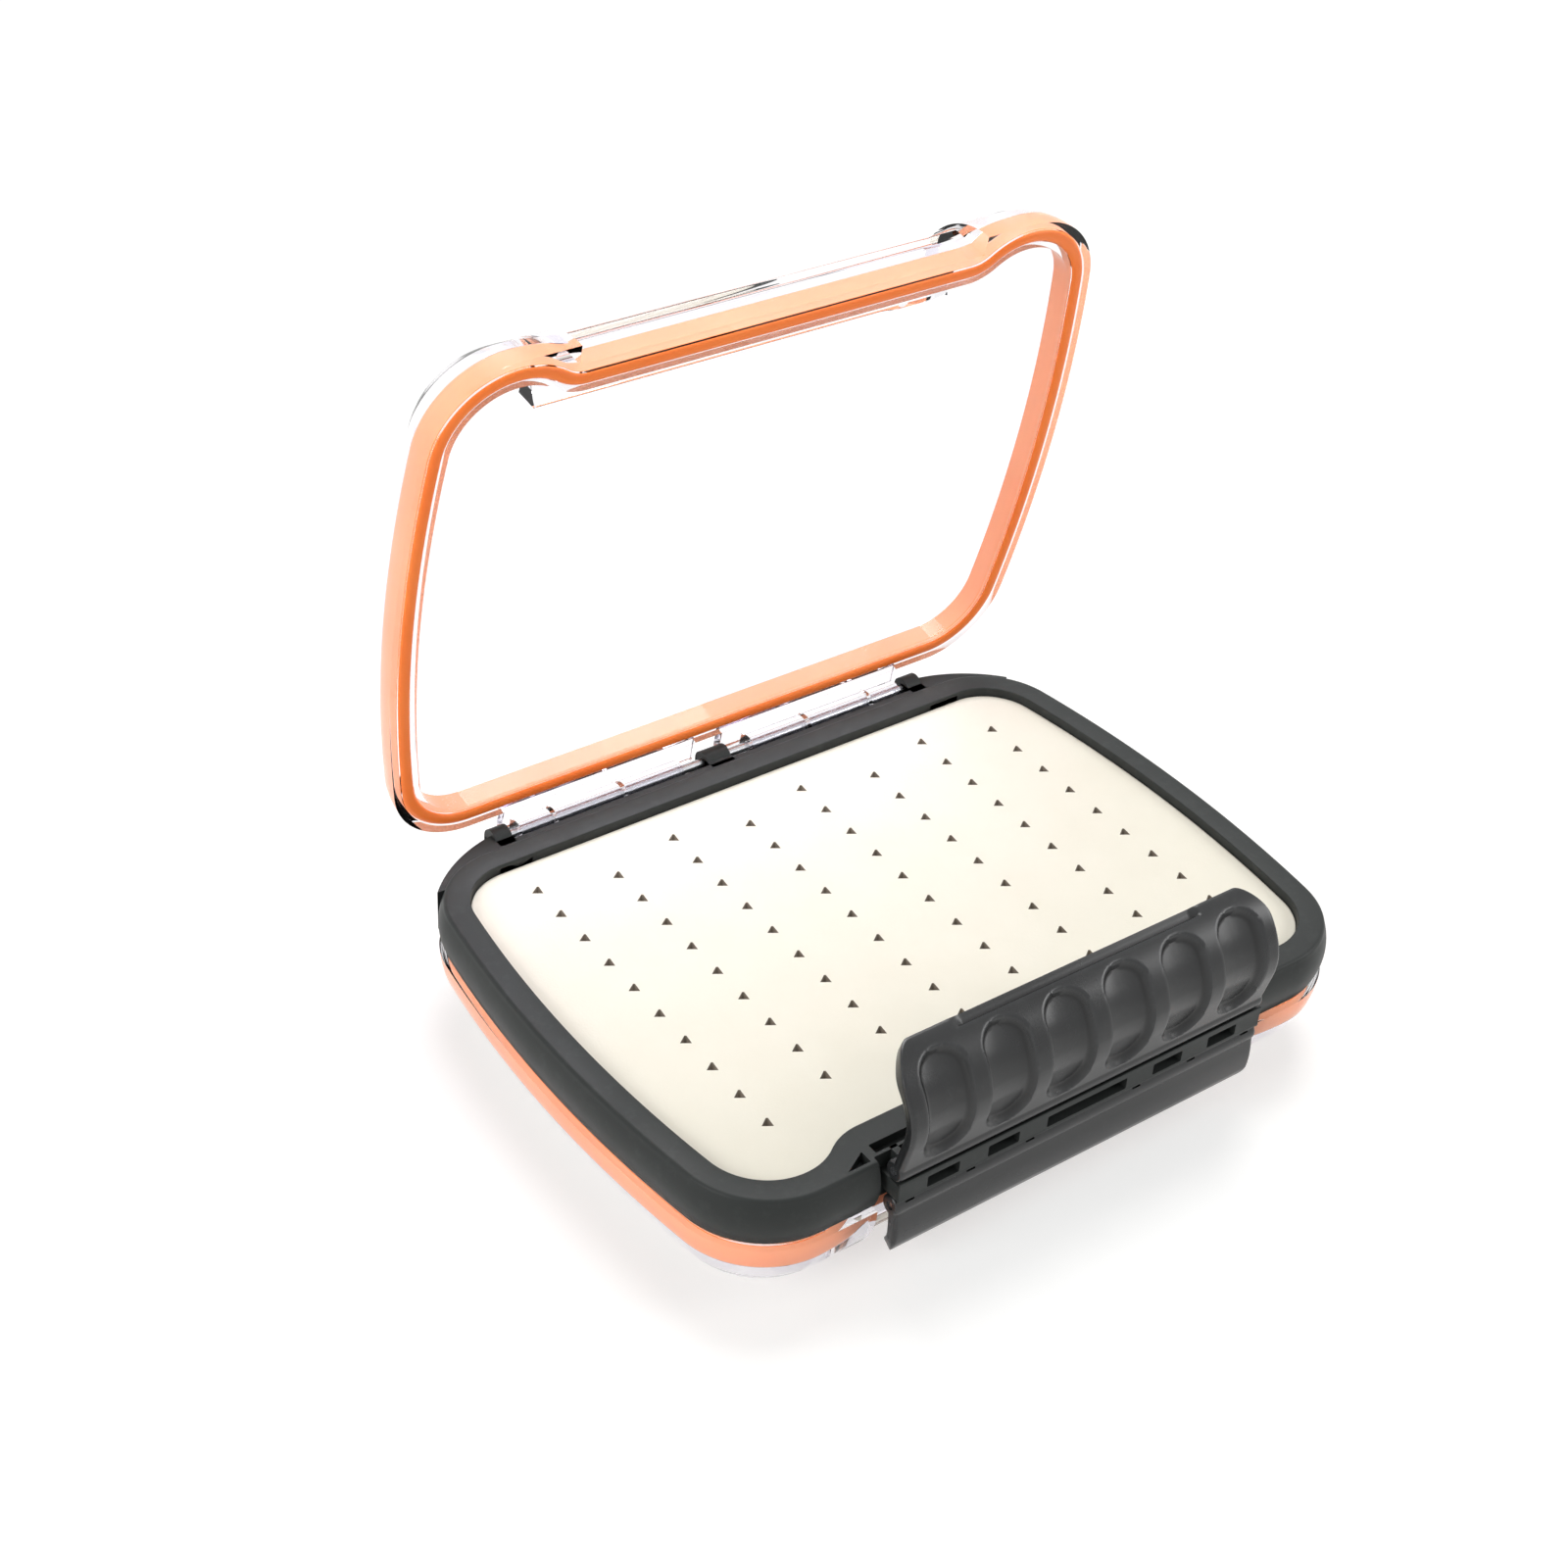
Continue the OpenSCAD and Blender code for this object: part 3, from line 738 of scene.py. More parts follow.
@dataclass
class Case:
    """Middle frame: a bulged ring with a flat rim, hinge lugs behind and a latch rail in front."""

    outline: CaseOutline
    height: float = 10.0
    rim_w: float = 5.0
    wall_bulge: float = 0.9
    rim_round: float = 0.8
    inner_round: float = 0.25
    bulge_steps: int = 8
    rim_steps: int = 5
    inner_steps: int = 4
    web_t: float = 1.2
    web_reach: float = 0.5
    hinge_y: float = 56.4
    hinge_rise: float = 2.9
    hinge_wall_in: float = 2.0
    knuckle_r: float = 2.4
    knuckle_gap: float = 0.4
    lug_half: float = 2.7
    end_lug_t: float = 3.5
    recess_half: float = 47.28
    end_step_r: float = 30.0
    end_step_reach: float = 0.6
    end_step_depth: float = 10.0
    end_step_lap: float = 2.0
    latch_y: float = -53.8
    latch_rise: float = 3.9
    barrel_r: float = 2.0
    latch_len: float = 82.04
    bay_half: float = 42.52
    bay_y: float = -50.3
    bay_reach: float = 10.0
    bay_round: float = 0.3
    rail_h: float = 3.4
    rail_round: float = 0.2
    upper_seat_h: float = 0.7
    lower_seat_h: float = 0.3  # the lower latch swings past it
    seat_t: float = 0.35
    seat_lap: float = 0.3
    seat_round: float = 0.1
    window_h: float = 2.4
    window_depth: float = 3.5
    window_side: float = 3.1
    window_round: float = 0.25
    latch_lug_t: float = 1.4
    latch_lug_r: float = 1.35
    lug_places: tuple[float, ...] = (-38.12, -25.12, -12.12, 12.12, 25.12, 38.12)
    ledge_slot: Span = (8.5, 2.1)
    ledge_slot_in: float = 1.0
    ledge_slot_round: float = 0.2
    ledge_wall: float = 0.6
    ledge_cut: float = 2.0
    pocket: Span = (4.6, 2.6)
    pocket_wall: float = 0.9
    pocket_in: float = 0.4

    @property
    def rim_z(self) -> float:
        """Height of the rim above the middle plane."""
        return self.height / 2

    @property
    def wall_z(self) -> float:
        """Height at which the outer wall goes over into the rim's rounding."""
        return self.rim_z - self.rim_round

    @property
    def recess_y(self) -> float:
        """Wall behind the lids' knuckles."""
        return self.hinge_y - self.knuckle_r - self.knuckle_gap

    @property
    def front_y(self) -> float:
        """Front of the rail and of the latches' barrels."""
        return self.latch_y - self.barrel_r

    def _ring_body(self) -> Piece:
        """Models the ring: rounded rims, a bulged outer wall and a straight inner wall.

        Returns:
            The ring.
        """
        top, small, large = self.rim_z, self.inner_round, self.rim_round
        upper: list[tuple[float, float, bool]] = []
        for i in range(self.bulge_steps + 1):
            t = i / self.bulge_steps
            upper.append((self.rim_w + self.wall_bulge * (1 - t * t), t * (top - large), False))
        for a in turns(0, 90, self.rim_steps)[1:]:
            upper.append((self.rim_w - large * (1 - math.cos(a)), top - large * (1 - math.sin(a)), False))
        for a in turns(0, 90, self.inner_steps):
            upper.append((small * (1 - math.sin(a)), top - small * (1 - math.cos(a)), True))
        lower = [(d, -z, inner) for d, z, inner in reversed(upper)]
        rings = [self.outline.ring(d, z, inner) for d, z, inner in upper + lower[:-1]]
        return lofted("frame_ring", rings, closed=True)

    def _web(self) -> Piece:
        """Plate between the two sheets of foam."""
        rings = [self.outline.ring(self.web_reach, side * self.web_t / 2) for side in (-1, 1)]
        return lofted("frame_web", rings, closed=False, capped=True)

    def _end_step(self, side: float) -> Piece:
        """Models the step at one end of the hinge, rounded into the corner.

        Args:
            side: 1 for the right end and -1 for the left.

        Returns:
            The step.
        """
        y, x = self.hinge_y + self.end_step_reach, side * self.recess_half
        step = block(
            "end_step", (x, x + side * self.end_step_r), (y - self.end_step_depth, y),
            (-self.wall_z, self.wall_z),
        )
        deselect_all()
        bpy.ops.mesh.primitive_cylinder_add(
            radius=self.end_step_r, depth=2 * self.height, vertices=ROUND_SIDES,
            location=(side * (self.recess_half - self.end_step_lap), y - self.end_step_r, 0),
        )
        drum = bpy.context.object
        bpy.ops.object.transform_apply(location=True, rotation=True, scale=True)
        boolean(step, drum, "INTERSECT")
        return step

    def _lug(self, x: float, half: float) -> list[Piece]:
        """Models one lug that holds both hinge pins.

        Args:
            x: Its middle.
            half: Half of its thickness.

        Returns:
            Its two eyes, its root and its back.
        """
        span = (x - half, x + half)
        parts = [
            moved(rod("lug_eye", self.knuckle_r, half, self.hinge_y, side * self.hinge_rise), x)
            for side in (-1, 1)
        ]
        parts.append(block(
            "lug_root", span, (self.recess_y - OVERLAP, self.hinge_y), (-self.wall_z, self.wall_z),
        ))
        parts.append(block(
            "lug_back", span, (self.hinge_y, self.hinge_y + self.knuckle_r),
            (-self.hinge_rise, self.hinge_rise),
        ))
        return parts

    def _latch_lug(self, x: float, sign: float) -> list[Piece]:
        """Models the lug that holds one latch pin.

        Args:
            x: Its middle.
            sign: 1 for the upper latch and -1 for the lower.

        Returns:
            Its eye and its arm.
        """
        half, r = self.latch_lug_t / 2, self.latch_lug_r
        eye = moved(rod("latch_eye", r, half, self.latch_y, sign * self.latch_rise), x)
        arm = block(
            "latch_arm", (x - half, x + half), (self.latch_y, self.bay_y + OVERLAP),
            (sign * (self.latch_rise - r), sign * self.rim_z),
        )
        return [eye, arm]

    def _additions(self) -> list[Piece]:
        """Models everything that is joined to the ring.

        Returns:
            Web, hinge wall, rail, steps, seats and lugs.
        """
        rail_x, rail_z = (-self.latch_len / 2, self.latch_len / 2), self.rail_h / 2
        parts = [
            self._web(),
            block("hinge_wall", (-self.recess_half, self.recess_half),
                  (self.outline.back_y + self.hinge_wall_in, self.recess_y), (-self.wall_z, self.wall_z)),
            block("rail", rail_x, (self.front_y, self.bay_y + OVERLAP), (-rail_z, rail_z), self.rail_round),
            self._end_step(1),
            self._end_step(-1),
        ]
        for sign, rise in ((-1, self.lower_seat_h), (1, self.upper_seat_h)):
            parts.append(block(
                "seat", rail_x, (self.front_y, self.front_y + self.seat_t),
                (sign * (rail_z - self.seat_lap), sign * (rail_z + rise)), self.seat_round,
            ))
        lug_x = self.recess_half + self.end_lug_t / 2
        for x, half in ((0, self.lug_half), (lug_x, self.end_lug_t / 2), (-lug_x, self.end_lug_t / 2)):
            parts += self._lug(x, half)
        for x in self.lug_places:
            for sign in (-1, 1):
                parts += self._latch_lug(x, sign)
        return parts

    def _cuts(self) -> list[Piece]:
        """Models the cutters for the rail's windows, and the slots and pockets of the ledge.

        Returns:
            The cutters, which don't touch.
        """
        cuts = []
        for left, right in zip(self.lug_places, self.lug_places[1:]):
            cuts.append(block(
                "window", (left + self.window_side, right - self.window_side),
                (self.front_y - OVERLAP, self.front_y + self.window_depth),
                (-self.window_h / 2, self.window_h / 2), self.window_round,
            ))
        slot_l, slot_w = self.ledge_slot
        pocket_l, pocket_w = self.pocket
        slot_x, slot_y = self.bay_half - self.ledge_slot_in, self.bay_y + self.ledge_wall
        pocket_y = self.outline.front_y - self.rim_w + self.rim_round + self.pocket_in
        for side in (-1, 1):
            for sign in (-1, 1):
                heights = sorted((sign * (self.rim_z - self.ledge_cut), sign * (self.rim_z + OVERLAP)))
                cuts.append(block(
                    "slot", (side * slot_x, side * (slot_x - slot_l)), (slot_y, slot_y + slot_w),
                    (heights[0], heights[1]), self.ledge_slot_round,
                ))
                x = side * (self.bay_half + self.pocket_wall)
                corners = [(x, pocket_y), (x + side * pocket_l, pocket_y), (x, pocket_y + pocket_w)]
                rings = [[(corner_x, corner_y, z) for corner_x, corner_y in corners] for z in heights]
                cuts.append(lofted("pocket", rings, closed=False, capped=True))
        return cuts

    def build(self) -> Piece:
        """Models the whole frame.

        Returns:
            The frame, in mm round the middle plane.
        """
        body = self._ring_body()
        bay = block(
            "bay", (-self.bay_half, self.bay_half), (self.bay_y - self.bay_reach, self.bay_y),
            (-self.height, self.height), self.bay_round,
        )
        boolean(body, bay, "DIFFERENCE")
        boolean(body, united(self._additions()), "UNION")
        boolean(body, joined(self._cuts()), "DIFFERENCE")
        body.name = "frame_moulding"
        smooth(body)
        return body


# --- Foam ---


@dataclass
class FoamSheet:
    """Sheet of slit foam: each slit shows as a small mouth with a lifted lip, its inner faces darkened with
    painted shade.
    """

    outline: CaseOutline
    bottom: float = 0.6
    top: float = 3.2
    gap: float = 0.1
    edge_round: float = 0.35
    edge_steps: int = 4
    columns: int = 8
    column_pitch: float = 15.0
    rows: int = 10
    row_pitch: float = 8.0
    shift: Span = (1.4, 3.2)
    edge: float = 6.0
    front: float = 11.0
    mouth_w: float = 2.1
    mouth_l: float = 2.0
    mouth_tip: float = 0.18
    mouth_turn: float = -31.0
    # height from the sheet's top, share of the width and share of the length, from the bottom up
    mouth_levels: tuple[Point, ...] = ((-1.6, 0.55, -0.1), (-0.4, 0.85, 0.6), (0.05, 1.0, 1.0))

    def places(self) -> Line:
        """Finds the middles of the slits, every second column half a pitch further forward.

        Returns:
            X and Y of each slit.
        """
        found = []
        for col in range(self.columns):
            odd = col % 2
            x = (col - (self.columns - 1) / 2) * self.column_pitch + self.shift[0]
            for row in range(self.rows - odd):
                y = ((self.rows - 1) / 2 - row - odd / 2) * self.row_pitch + self.shift[1]
                stepped = abs(x) < self.outline.step_half + self.outline.step_run / 2
                front = self.outline.step_y if stepped else self.outline.front_y
                if front + self.front < y < self.outline.back_y - self.edge:
                    found.append((x, y))
        return found

    def _mouths(self) -> Piece:
        """Models one cutter for all the slits: wedges, deep at the wide end, shallow at the point.

        Returns:
            The cutter.
        """
        half, end = self.mouth_w / 2, self.mouth_l / 2
        rings = []
        for rise, share, tip in self.mouth_levels:
            z = self.top + rise
            rings.append([
                (-half * share, -end, z), (half * share, -end, z),
                (self.mouth_tip * share, end * tip, z), (-self.mouth_tip * share, end * tip, z),
            ])
        first = lofted("mouths", rings, closed=False, capped=True)
        first.data.transform(Matrix.Rotation(math.radians(self.mouth_turn), 4, "Z"))
        return repeated(first, self.places())

    def mouth_faces(self, sheet: Piece) -> list[int]:
        """Finds the faces inside the slits, which get painted shade.

        Args:
            sheet: The sheet, in mm above the middle plane.

        Returns:
            Numbers of its faces.
        """
        low, high = self.top + self.mouth_levels[0][0] - HAIR, self.top - HAIR
        places, reach = self.places(), self.mouth_w
        found = []
        for face in sheet.data.polygons:
            x, y, z = face.center
            if low < z < high and any(abs(x - px) < reach and abs(y - py) < reach for px, py in places):
                found.append(face.index)
        return found

    def build(self) -> Piece:
        """Models the sheet with its rounded edge and its slits.

        Returns:
            The sheet, in mm above the middle plane.
        """
        r = self.edge_round
        rings = [self.outline.ring(-self.gap, self.bottom)]
        for a in turns(0, 90, self.edge_steps):
            d, z = -self.gap - r * (1 - math.cos(a)), self.top - r * (1 - math.sin(a))
            rings.append(self.outline.ring(d, z))
        sheet = lofted("foam", rings, closed=False, capped=True)
        boolean(sheet, self._mouths(), "DIFFERENCE")
        smooth(sheet, 40)
        return sheet


# --- Lids and gaskets ---


@dataclass
class Lid:
    """Clear domed lid: gasket groove, bay for its latch, and knuckles on its hinge."""

    outline: CaseOutline
    mid_h: float = 21.0
    rim_z: float = 5.0
    gap: float = 0.35
    reach: float = 5.8
    dome_in: float = 15.0
    dome_steps: int = 22
    hollow_steps: int = 14
    wall: float = 1.8
    lip_t: float = 1.2
    lip_drop: float = 0.3
    lip_clear: float = 0.4
    gasket_w: float = 2.6
    gasket_h: float = 5.0
    bead_r: float = 1.2
    gasket_round: float = 0.3
    gasket_press: float = 0.03  # the cord is pressed to its groove, so that its colour shows through
    gasket_gap: float = 0.1
    # Height over the lid's edge from which the cord is painted a paler orange, as painted light.
    veil_from: float = 0.9
    bay_half: float = 42.52
    bay_front: float = -49.0
    bay_reach: float = 12.0
    bay_rear: float = 4.2
    bay_r: float = 11.1
    curve_centre: Span = (-40.553, 6.644)
    hinge_y: float = 56.4
    hinge_rise: float = 2.9
    knuckle_r: float = 2.4
    bore_r: float = 1.06
    arm_share: float = 0.6
    leaf_in: float = 0.6
    leaf_gap: float = 0.1
    leaf_t: float = 2.0
    leaf_round: float = 0.3
    leaf_ends: Span = (3.1, 46.88)
    knuckles: tuple[Span, ...] = ((38.18, 45.18), (22.48, 37.18), (8.28, 21.48))

    @property
    def lid_z(self) -> float:
        """Height of the lid's edge."""
        return self.rim_z + self.gap

    @property
    def dome_h(self) -> float:
        """Height of the dome over the lid's edge."""
        return self.mid_h - self.lid_z

    @property
    def groove(self) -> Span:
        """Inner and outer side of the gasket's groove, outside the foam opening."""
        inner = self.lip_t + self.lip_clear
        return inner, inner + self.gasket_w

    def _blank(self) -> Piece:
        """Models the outer form: a quarter ellipse from the edge to the flat window.

        Returns:
            The blank.
        """
        rings = []
        for a in turns(0, 90, self.dome_steps):
            d = self.reach - self.dome_in * (1 - math.cos(a))
            rings.append(self.outline.ring(d, self.lid_z + self.dome_h * math.sin(a), False))
        return lofted("lid", rings, closed=False, capped=True)

    def _hollow(self) -> Piece:
        """Models the inner form: straight inside the lip, then under the dome.

        Returns:
            The hollow, as a solid.
        """
        lip_in = self.groove[0] - self.lip_t
        run, rise = self.dome_in - self.wall / 2, self.dome_h - self.wall
        start = math.acos(1 - (self.reach - self.wall - lip_in) / run)
        rings = [self.outline.ring(lip_in, self.lid_z - OVERLAP)]
        for i in range(self.hollow_steps + 1):
            a = start + (math.pi / 2 - start) * i / self.hollow_steps
            d = self.reach - self.wall - run * (1 - math.cos(a))
            rings.append(self.outline.ring(d, self.lid_z + rise * math.sin(a)))
        return lofted("hollow", rings, closed=False, capped=True)

    def _bay(self, grow: float) -> list[Piece]:
        """Models the cutters for the bay that takes the closed latch.

        Args:
            grow: Wall that is taken in behind the bay.

        Returns:
            The space before the front wall, and the space outside the drum of the latch's curve.
        """
        half, front = self.bay_half + grow, self.bay_front + grow
        y, z = self.curve_centre
        rear, top = y + self.bay_rear + grow, self.mid_h + OVERLAP
        before = block("bay_front", (-half, half), (front - self.bay_reach, front), (0, top))
        outside = block("bay_drum", (-half, half), (front - HAIR, rear), (z, top))
        drum = rod("drum", self.bay_r - grow, half + OVERLAP, y, z, sides=ROUND_SIDES)
        boolean(outside, drum, "DIFFERENCE")
        return [before, outside]

    def _hinge(self) -> list[Piece]:
        """Models the hinge on both sides of the middle.

        Returns:
            Leaves, knuckles and arms.
        """
        leaf_y = self.outline.back_y + self.groove[1] + self.leaf_in
        leaf_z = self.hinge_rise + self.knuckle_r + self.leaf_gap
        arm = self.knuckle_r * self.arm_share
        parts = []
        for side in (-1, 1):
            parts.append(block(
                "leaf", (side * self.leaf_ends[0], side * self.leaf_ends[1]), (leaf_y, self.hinge_y + arm),
                (leaf_z, leaf_z + self.leaf_t), self.leaf_round,
            ))
            for inner, outer in self.knuckles:
                x, half = side * (inner + outer) / 2, (outer - inner) / 2
                parts.append(moved(rod("knuckle", self.knuckle_r, half, self.hinge_y, self.hinge_rise), x))
                parts.append(block(
                    "arm", (x - half, x + half), (self.hinge_y - arm, self.hinge_y + arm),
                    (self.hinge_rise, self.hinge_rise + self.knuckle_r + OVERLAP),
                ))
        return parts

    def _groove_cutters(self) -> list[Piece]:
        """Models what is cut last from the lid.

        Returns:
            The gasket's groove, the lip's set-back and the bore for the pin.
        """
        inner, outer = self.groove
        low, high = self.lid_z - OVERLAP, self.lid_z + self.gasket_h
        profile = [(outer, low), (outer, high), (inner, high), (inner, low)]
        groove = lofted("groove", [self.outline.ring(d, z) for d, z in profile], closed=True)
        drop_rings = [self.outline.ring(inner + HAIR, z) for z in (low, self.lid_z + self.lip_drop)]
        drop = lofted("lip_drop", drop_rings, closed=False, capped=True)
        bore = rod("bore", self.bore_r, self.leaf_ends[1] + OVERLAP, self.hinge_y, self.hinge_rise)
        return [groove, drop, bore]

    def build(self, name: str) -> Piece:
        """Models the lid, closed over the frame.

        Args:
            name: Name of the piece.

        Returns:
            The lid, in mm above the middle plane.
        """
        lid, hollow = self._blank(), self._hollow()
        boolean(lid, united(self._bay(0)), "DIFFERENCE")
        boolean(hollow, united(self._bay(self.wall)), "DIFFERENCE")
        boolean(lid, hollow, "DIFFERENCE")
        boolean(lid, united(self._hinge()), "UNION")
        for cut in self._groove_cutters():
            boolean(lid, cut, "DIFFERENCE")
        lid.name = name
        smooth(lid, 30)
        return lid

    def gasket(self, name: str) -> Piece:
        """Models the gasket in its groove: a cord pressed to a rounded oblong.

        Args:
            name: Name of the piece.

        Returns:
            The gasket, in mm above the middle plane.
        """
        inner, outer = self.groove
        stations = rounded_stations(
            self.rim_z + self.gasket_gap, self.lid_z + self.gasket_h + self.gasket_press,
            (outer - inner) / 2 + self.gasket_press, (inner + outer) / 2, self.bead_r, self.gasket_round,
        )
        cord = lofted(name, [self.outline.ring(d, z) for d, z in stations], closed=True)
        smooth(cord, 50)
        return cord

    def veiled_faces(self, cord: Piece) -> list[int]:
        """Faces of the gasket inside the lid's groove, painted a paler orange: painted light that stands for
        light scattered through a matt groove.
        """
        return [face.index for face in cord.data.polygons if face.center.z > self.lid_z + self.veil_from]


# --- Latches ---


@dataclass
class Latch:
    """Latch plate that curves over its lid, with finger bowls and a barrel round its pin.

    It is drawn upright: its pin lies at 0, Y is negative in front, and Z points to its tip.
    """

    straight: float
    curve_r: float
    bow: float
    wrap: float
    grip_start: float
    drawn_at: float
    grip_depth: float
    grip_scoop: float
    grip_end: float
    strip_half: float = 0.0
    strip_w: float = 2.0
    strip_depth: float = 0.9
    strip_slope: float = 2.0
    strip_rise: float = 0.8
    length: float = 82.04
    t: float = 2.4
    root_depth: float = 0.4
    barrel_r: float = 2.0
    corner_r: float = 5.0
    pin_bore_r: float = 0.86
    swing: float = 100.0
    lug_places: tuple[float, ...] = (-38.12, -25.12, -12.12, 12.12, 25.12, 38.12)
    lug_room: float = 1.5
    lug_slot_half: float = 0.95
    grip_count: int = 6
    grip_w: float = 10.0
    grip_side: float = 3.3
    grip_wall: float = 1.0
    grip_fill: float = 0.48  # radius of a bowl's ends as a share of its width
    bend_ease: float = 2.5
    end_round: float = 0.8
    rounding: float = 0.3
    rim_bevel: float = 0.3
    x_steps: int = 220
    corner_steps: int = 16
    barrel_steps: int = 36
    face_steps: int = 72
    inner_steps: int = 16
    slot_steps: int = 24

    @property
    def centre(self) -> Span:
        """Centre of the curve of the face."""
        return self.curve_r - self.bow, self.straight

    @property
    def root_y(self) -> float:
        """Place of the face at the pin's height."""
        return self.root_depth - self.barrel_r

    @property
    def top(self) -> float:
        """Height of the edge."""
        return self.straight + self.curve_r * math.sin(math.radians(self.wrap))

    def _sharp_point(self, s: float, depth: float) -> Span:
        """Finds a point under the straight foot or the curve above it.

        Args:
            s: Distance along the face from the pin's height.
            depth: Distance under the face.

        Returns:
            Y and Z.
        """
        dy, dz = -self.bow - self.root_y, self.straight
        run = math.hypot(dy, dz)
        if s <= run:
            ny, nz = dz / run, -dy / run
            return self.root_y + dy * s / run + ny * depth, dz * s / run + nz * depth
        a = (s - run) / self.curve_r
        cy, cz = self.centre
        return cy - (self.curve_r - depth) * math.cos(a), cz + (self.curve_r - depth) * math.sin(a)

    def _face_point(self, s: float, depth: float) -> Span:
        """Finds a point under the face, with the bend between its foot and its curve eased.

        Args:
            s: Distance along the face from the pin's height.
            depth: Distance under the face.

        Returns:
            Y and Z.
        """
        run, ease = self._face_length(0), self.bend_ease
        if abs(s - run) >= ease:
            return self._sharp_point(s, depth)
        t = (s - run + ease) / (2 * ease)
        ends = [self._sharp_point(run + shift, depth) for shift in (-ease, 0.0, 1e-6, ease)]
        shares = ((1 - t) ** 2, t * (1 - t), t * (1 - t), t * t)
        y, z = (sum(share * end[axis] for share, end in zip(shares, ends)) for axis in (0, 1))
        return y, z

    def _face_length(self, degrees: float) -> float:
        """Distance along the face from the pin's height to an angle of the curve."""
        return math.hypot(-self.bow - self.root_y, self.straight) + self.curve_r * math.radians(degrees)

    def _height_length(self, height: float) -> float:
        """Finds the distance along the face at which it reaches a height.

        Args:
            height: The height.

        Returns:
            The distance.
        """
        if height <= self.straight:
            return self._face_length(0) * height / self.straight
        ratio = min(1.0, (height - self.straight) / self.curve_r)
        return self._face_length(math.degrees(math.asin(ratio)))

    def _end_angle(self, x: float) -> float:
        """Finds the angle at which the plate ends, round its top corners.

        Args:
            x: Place along the latch.

        Returns:
            The angle in degrees.
        """
        over = max(0.0, abs(x) - (self.length / 2 - self.corner_r))
        top = self.top - self.corner_r + math.sqrt(max(0.0, self.corner_r**2 - over**2))
        ratio = (top - self.straight) / self.curve_r
        return min(self.wrap, math.degrees(math.asin(max(0.02, min(1.0, ratio)))))

    def _bowl(self, x: float, s: float) -> float:
        """Finds the depth of the finger bowls under the face: a steep wall and a scooped floor.

        Args:
            x: Place along the latch.
            s: Distance along the face.

        Returns:
            The depth.
        """
        pitch = (self.length - 2 * self.grip_side - self.grip_w) / (self.grip_count - 1)
        nearest = round(x / pitch + (self.grip_count - 1) / 2)
        nearest = max(0, min(self.grip_count - 1, nearest))
        off = abs(x - (nearest - (self.grip_count - 1) / 2) * pitch)
        r = self.grip_fill * self.grip_w
        low = self._height_length(self.grip_start)
        high = self._face_length(self.wrap) - self.grip_end
        if high - low < 2 * r:
            r = self.grip_fill * (high - low)
        inner = max(0.0, off - (self.grip_w / 2 - r))
        along = max(low + r - s, s - (high - r), 0.0)
        inside = r - math.hypot(inner, along)
        t = max(0.0, min(1.0, inside / self.grip_wall))
        scoop = max(0.0, min(1.0, inside / r))
        floor = self.grip_depth - self.grip_scoop
        return floor * t * t * (3 - 2 * t) + self.grip_scoop * scoop * (2 - scoop)

    def _strip(self, x: float, s: float, end: float) -> float:
        """Finds the depth of the thumb strip along the edge: a sharp step, then a rise to the edge.

        Args:
            x: Place along the latch.
            s: Distance along the face.
            end: Distance along the face to the edge.

        Returns:
            The depth.
        """
        if not self.strip_half:
            return 0.0
        share = max(0.0, min(1.0, (self.strip_half - abs(x)) / self.strip_slope + 0.5))
        t = (s - end + self.strip_w) / self.strip_w
        return share * self.strip_depth * (1 - self.strip_rise * t * t) if t > 0 else 0.0

    def _barrel_exit(self, depth: float) -> float:
        """Finds where a layer of the plate leaves the barrel.

        Args:
            depth: Distance of the layer under the face.

        Returns:
            Distance along the face.
        """
        low, high = 0.0, self._face_length(0)
        depth_in = min(depth, self.t - depth)
        for _ in range(40):  # halvings, to far below a micron
            middle = (low + high) / 2
            if math.hypot(*self._face_point(middle, depth)) < self.barrel_r - depth_in / 2:
                low = middle
            else:
                high = middle
        return high

    def _section(self, x: float) -> Ring:
        """Draws the latch's section: round the barrel, up the face, over the edge and down inside.

        Args:
            x: Place along the latch.

        Returns:
            One ring of points in mm.
        """
        edge = self.length / 2 - abs(x)
        inset = 0.0
        if edge < self.end_round:
            inset = self.end_round - math.sqrt(self.end_round**2 - (self.end_round - edge) ** 2)
        barrel_r, back = self.barrel_r - inset / 2, self.t - inset
        outer_start, inner_start = self._barrel_exit(inset), self._barrel_exit(back)
        points: Line = []
        oy, oz = self._face_point(outer_start, inset)
        iy, iz = self._face_point(inner_start, back)
        from_a, to_a = math.atan2(iz, iy), math.atan2(oz, oy) - 2 * math.pi
        for i in range(self.barrel_steps):
            a = from_a + (to_a - from_a) * i / self.barrel_steps
            points.append((barrel_r * math.cos(a), barrel_r * math.sin(a)))
        end = self._face_length(self._end_angle(x)) - inset
        r, bevel = self.rounding, self.rounding * self.rim_bevel
        for i in range(self.face_steps + 1):
            s = outer_start + (end - r - outer_start) * i / self.face_steps
            points.append(self._face_point(s, inset + max(self._bowl(x, s), self._strip(x, s, end))))
        rim = inset + self._strip(x, end, end)
        edge_points = (
            (end - bevel, rim + bevel), (end, rim + r), (end, rim + 2 * r), (end, back - r),
            (end - bevel, back - bevel),
        )
        points += [self._face_point(s, depth) for s, depth in edge_points]
        for i in range(self.inner_steps):
            s = end - r + (inner_start - end + r) * i / self.inner_steps
            points.append(self._face_point(s, back))
        return [(x, y, z) for y, z in points]

    def _stations(self) -> list[float]:
        """Places the sections along X, close together round the corners.

        Returns:
            Places from left to right.
        """
        r, steps = self.corner_r, self.corner_steps
        inner = self.length / 2 - r
        arc = [inner + r * math.sin(math.pi / 2 * (i + 1) / steps) for i in range(steps)]
        middle = [-inner + 2 * inner * i / self.x_steps for i in range(self.x_steps + 1)]
        return [-x for x in reversed(arc)] + middle + arc

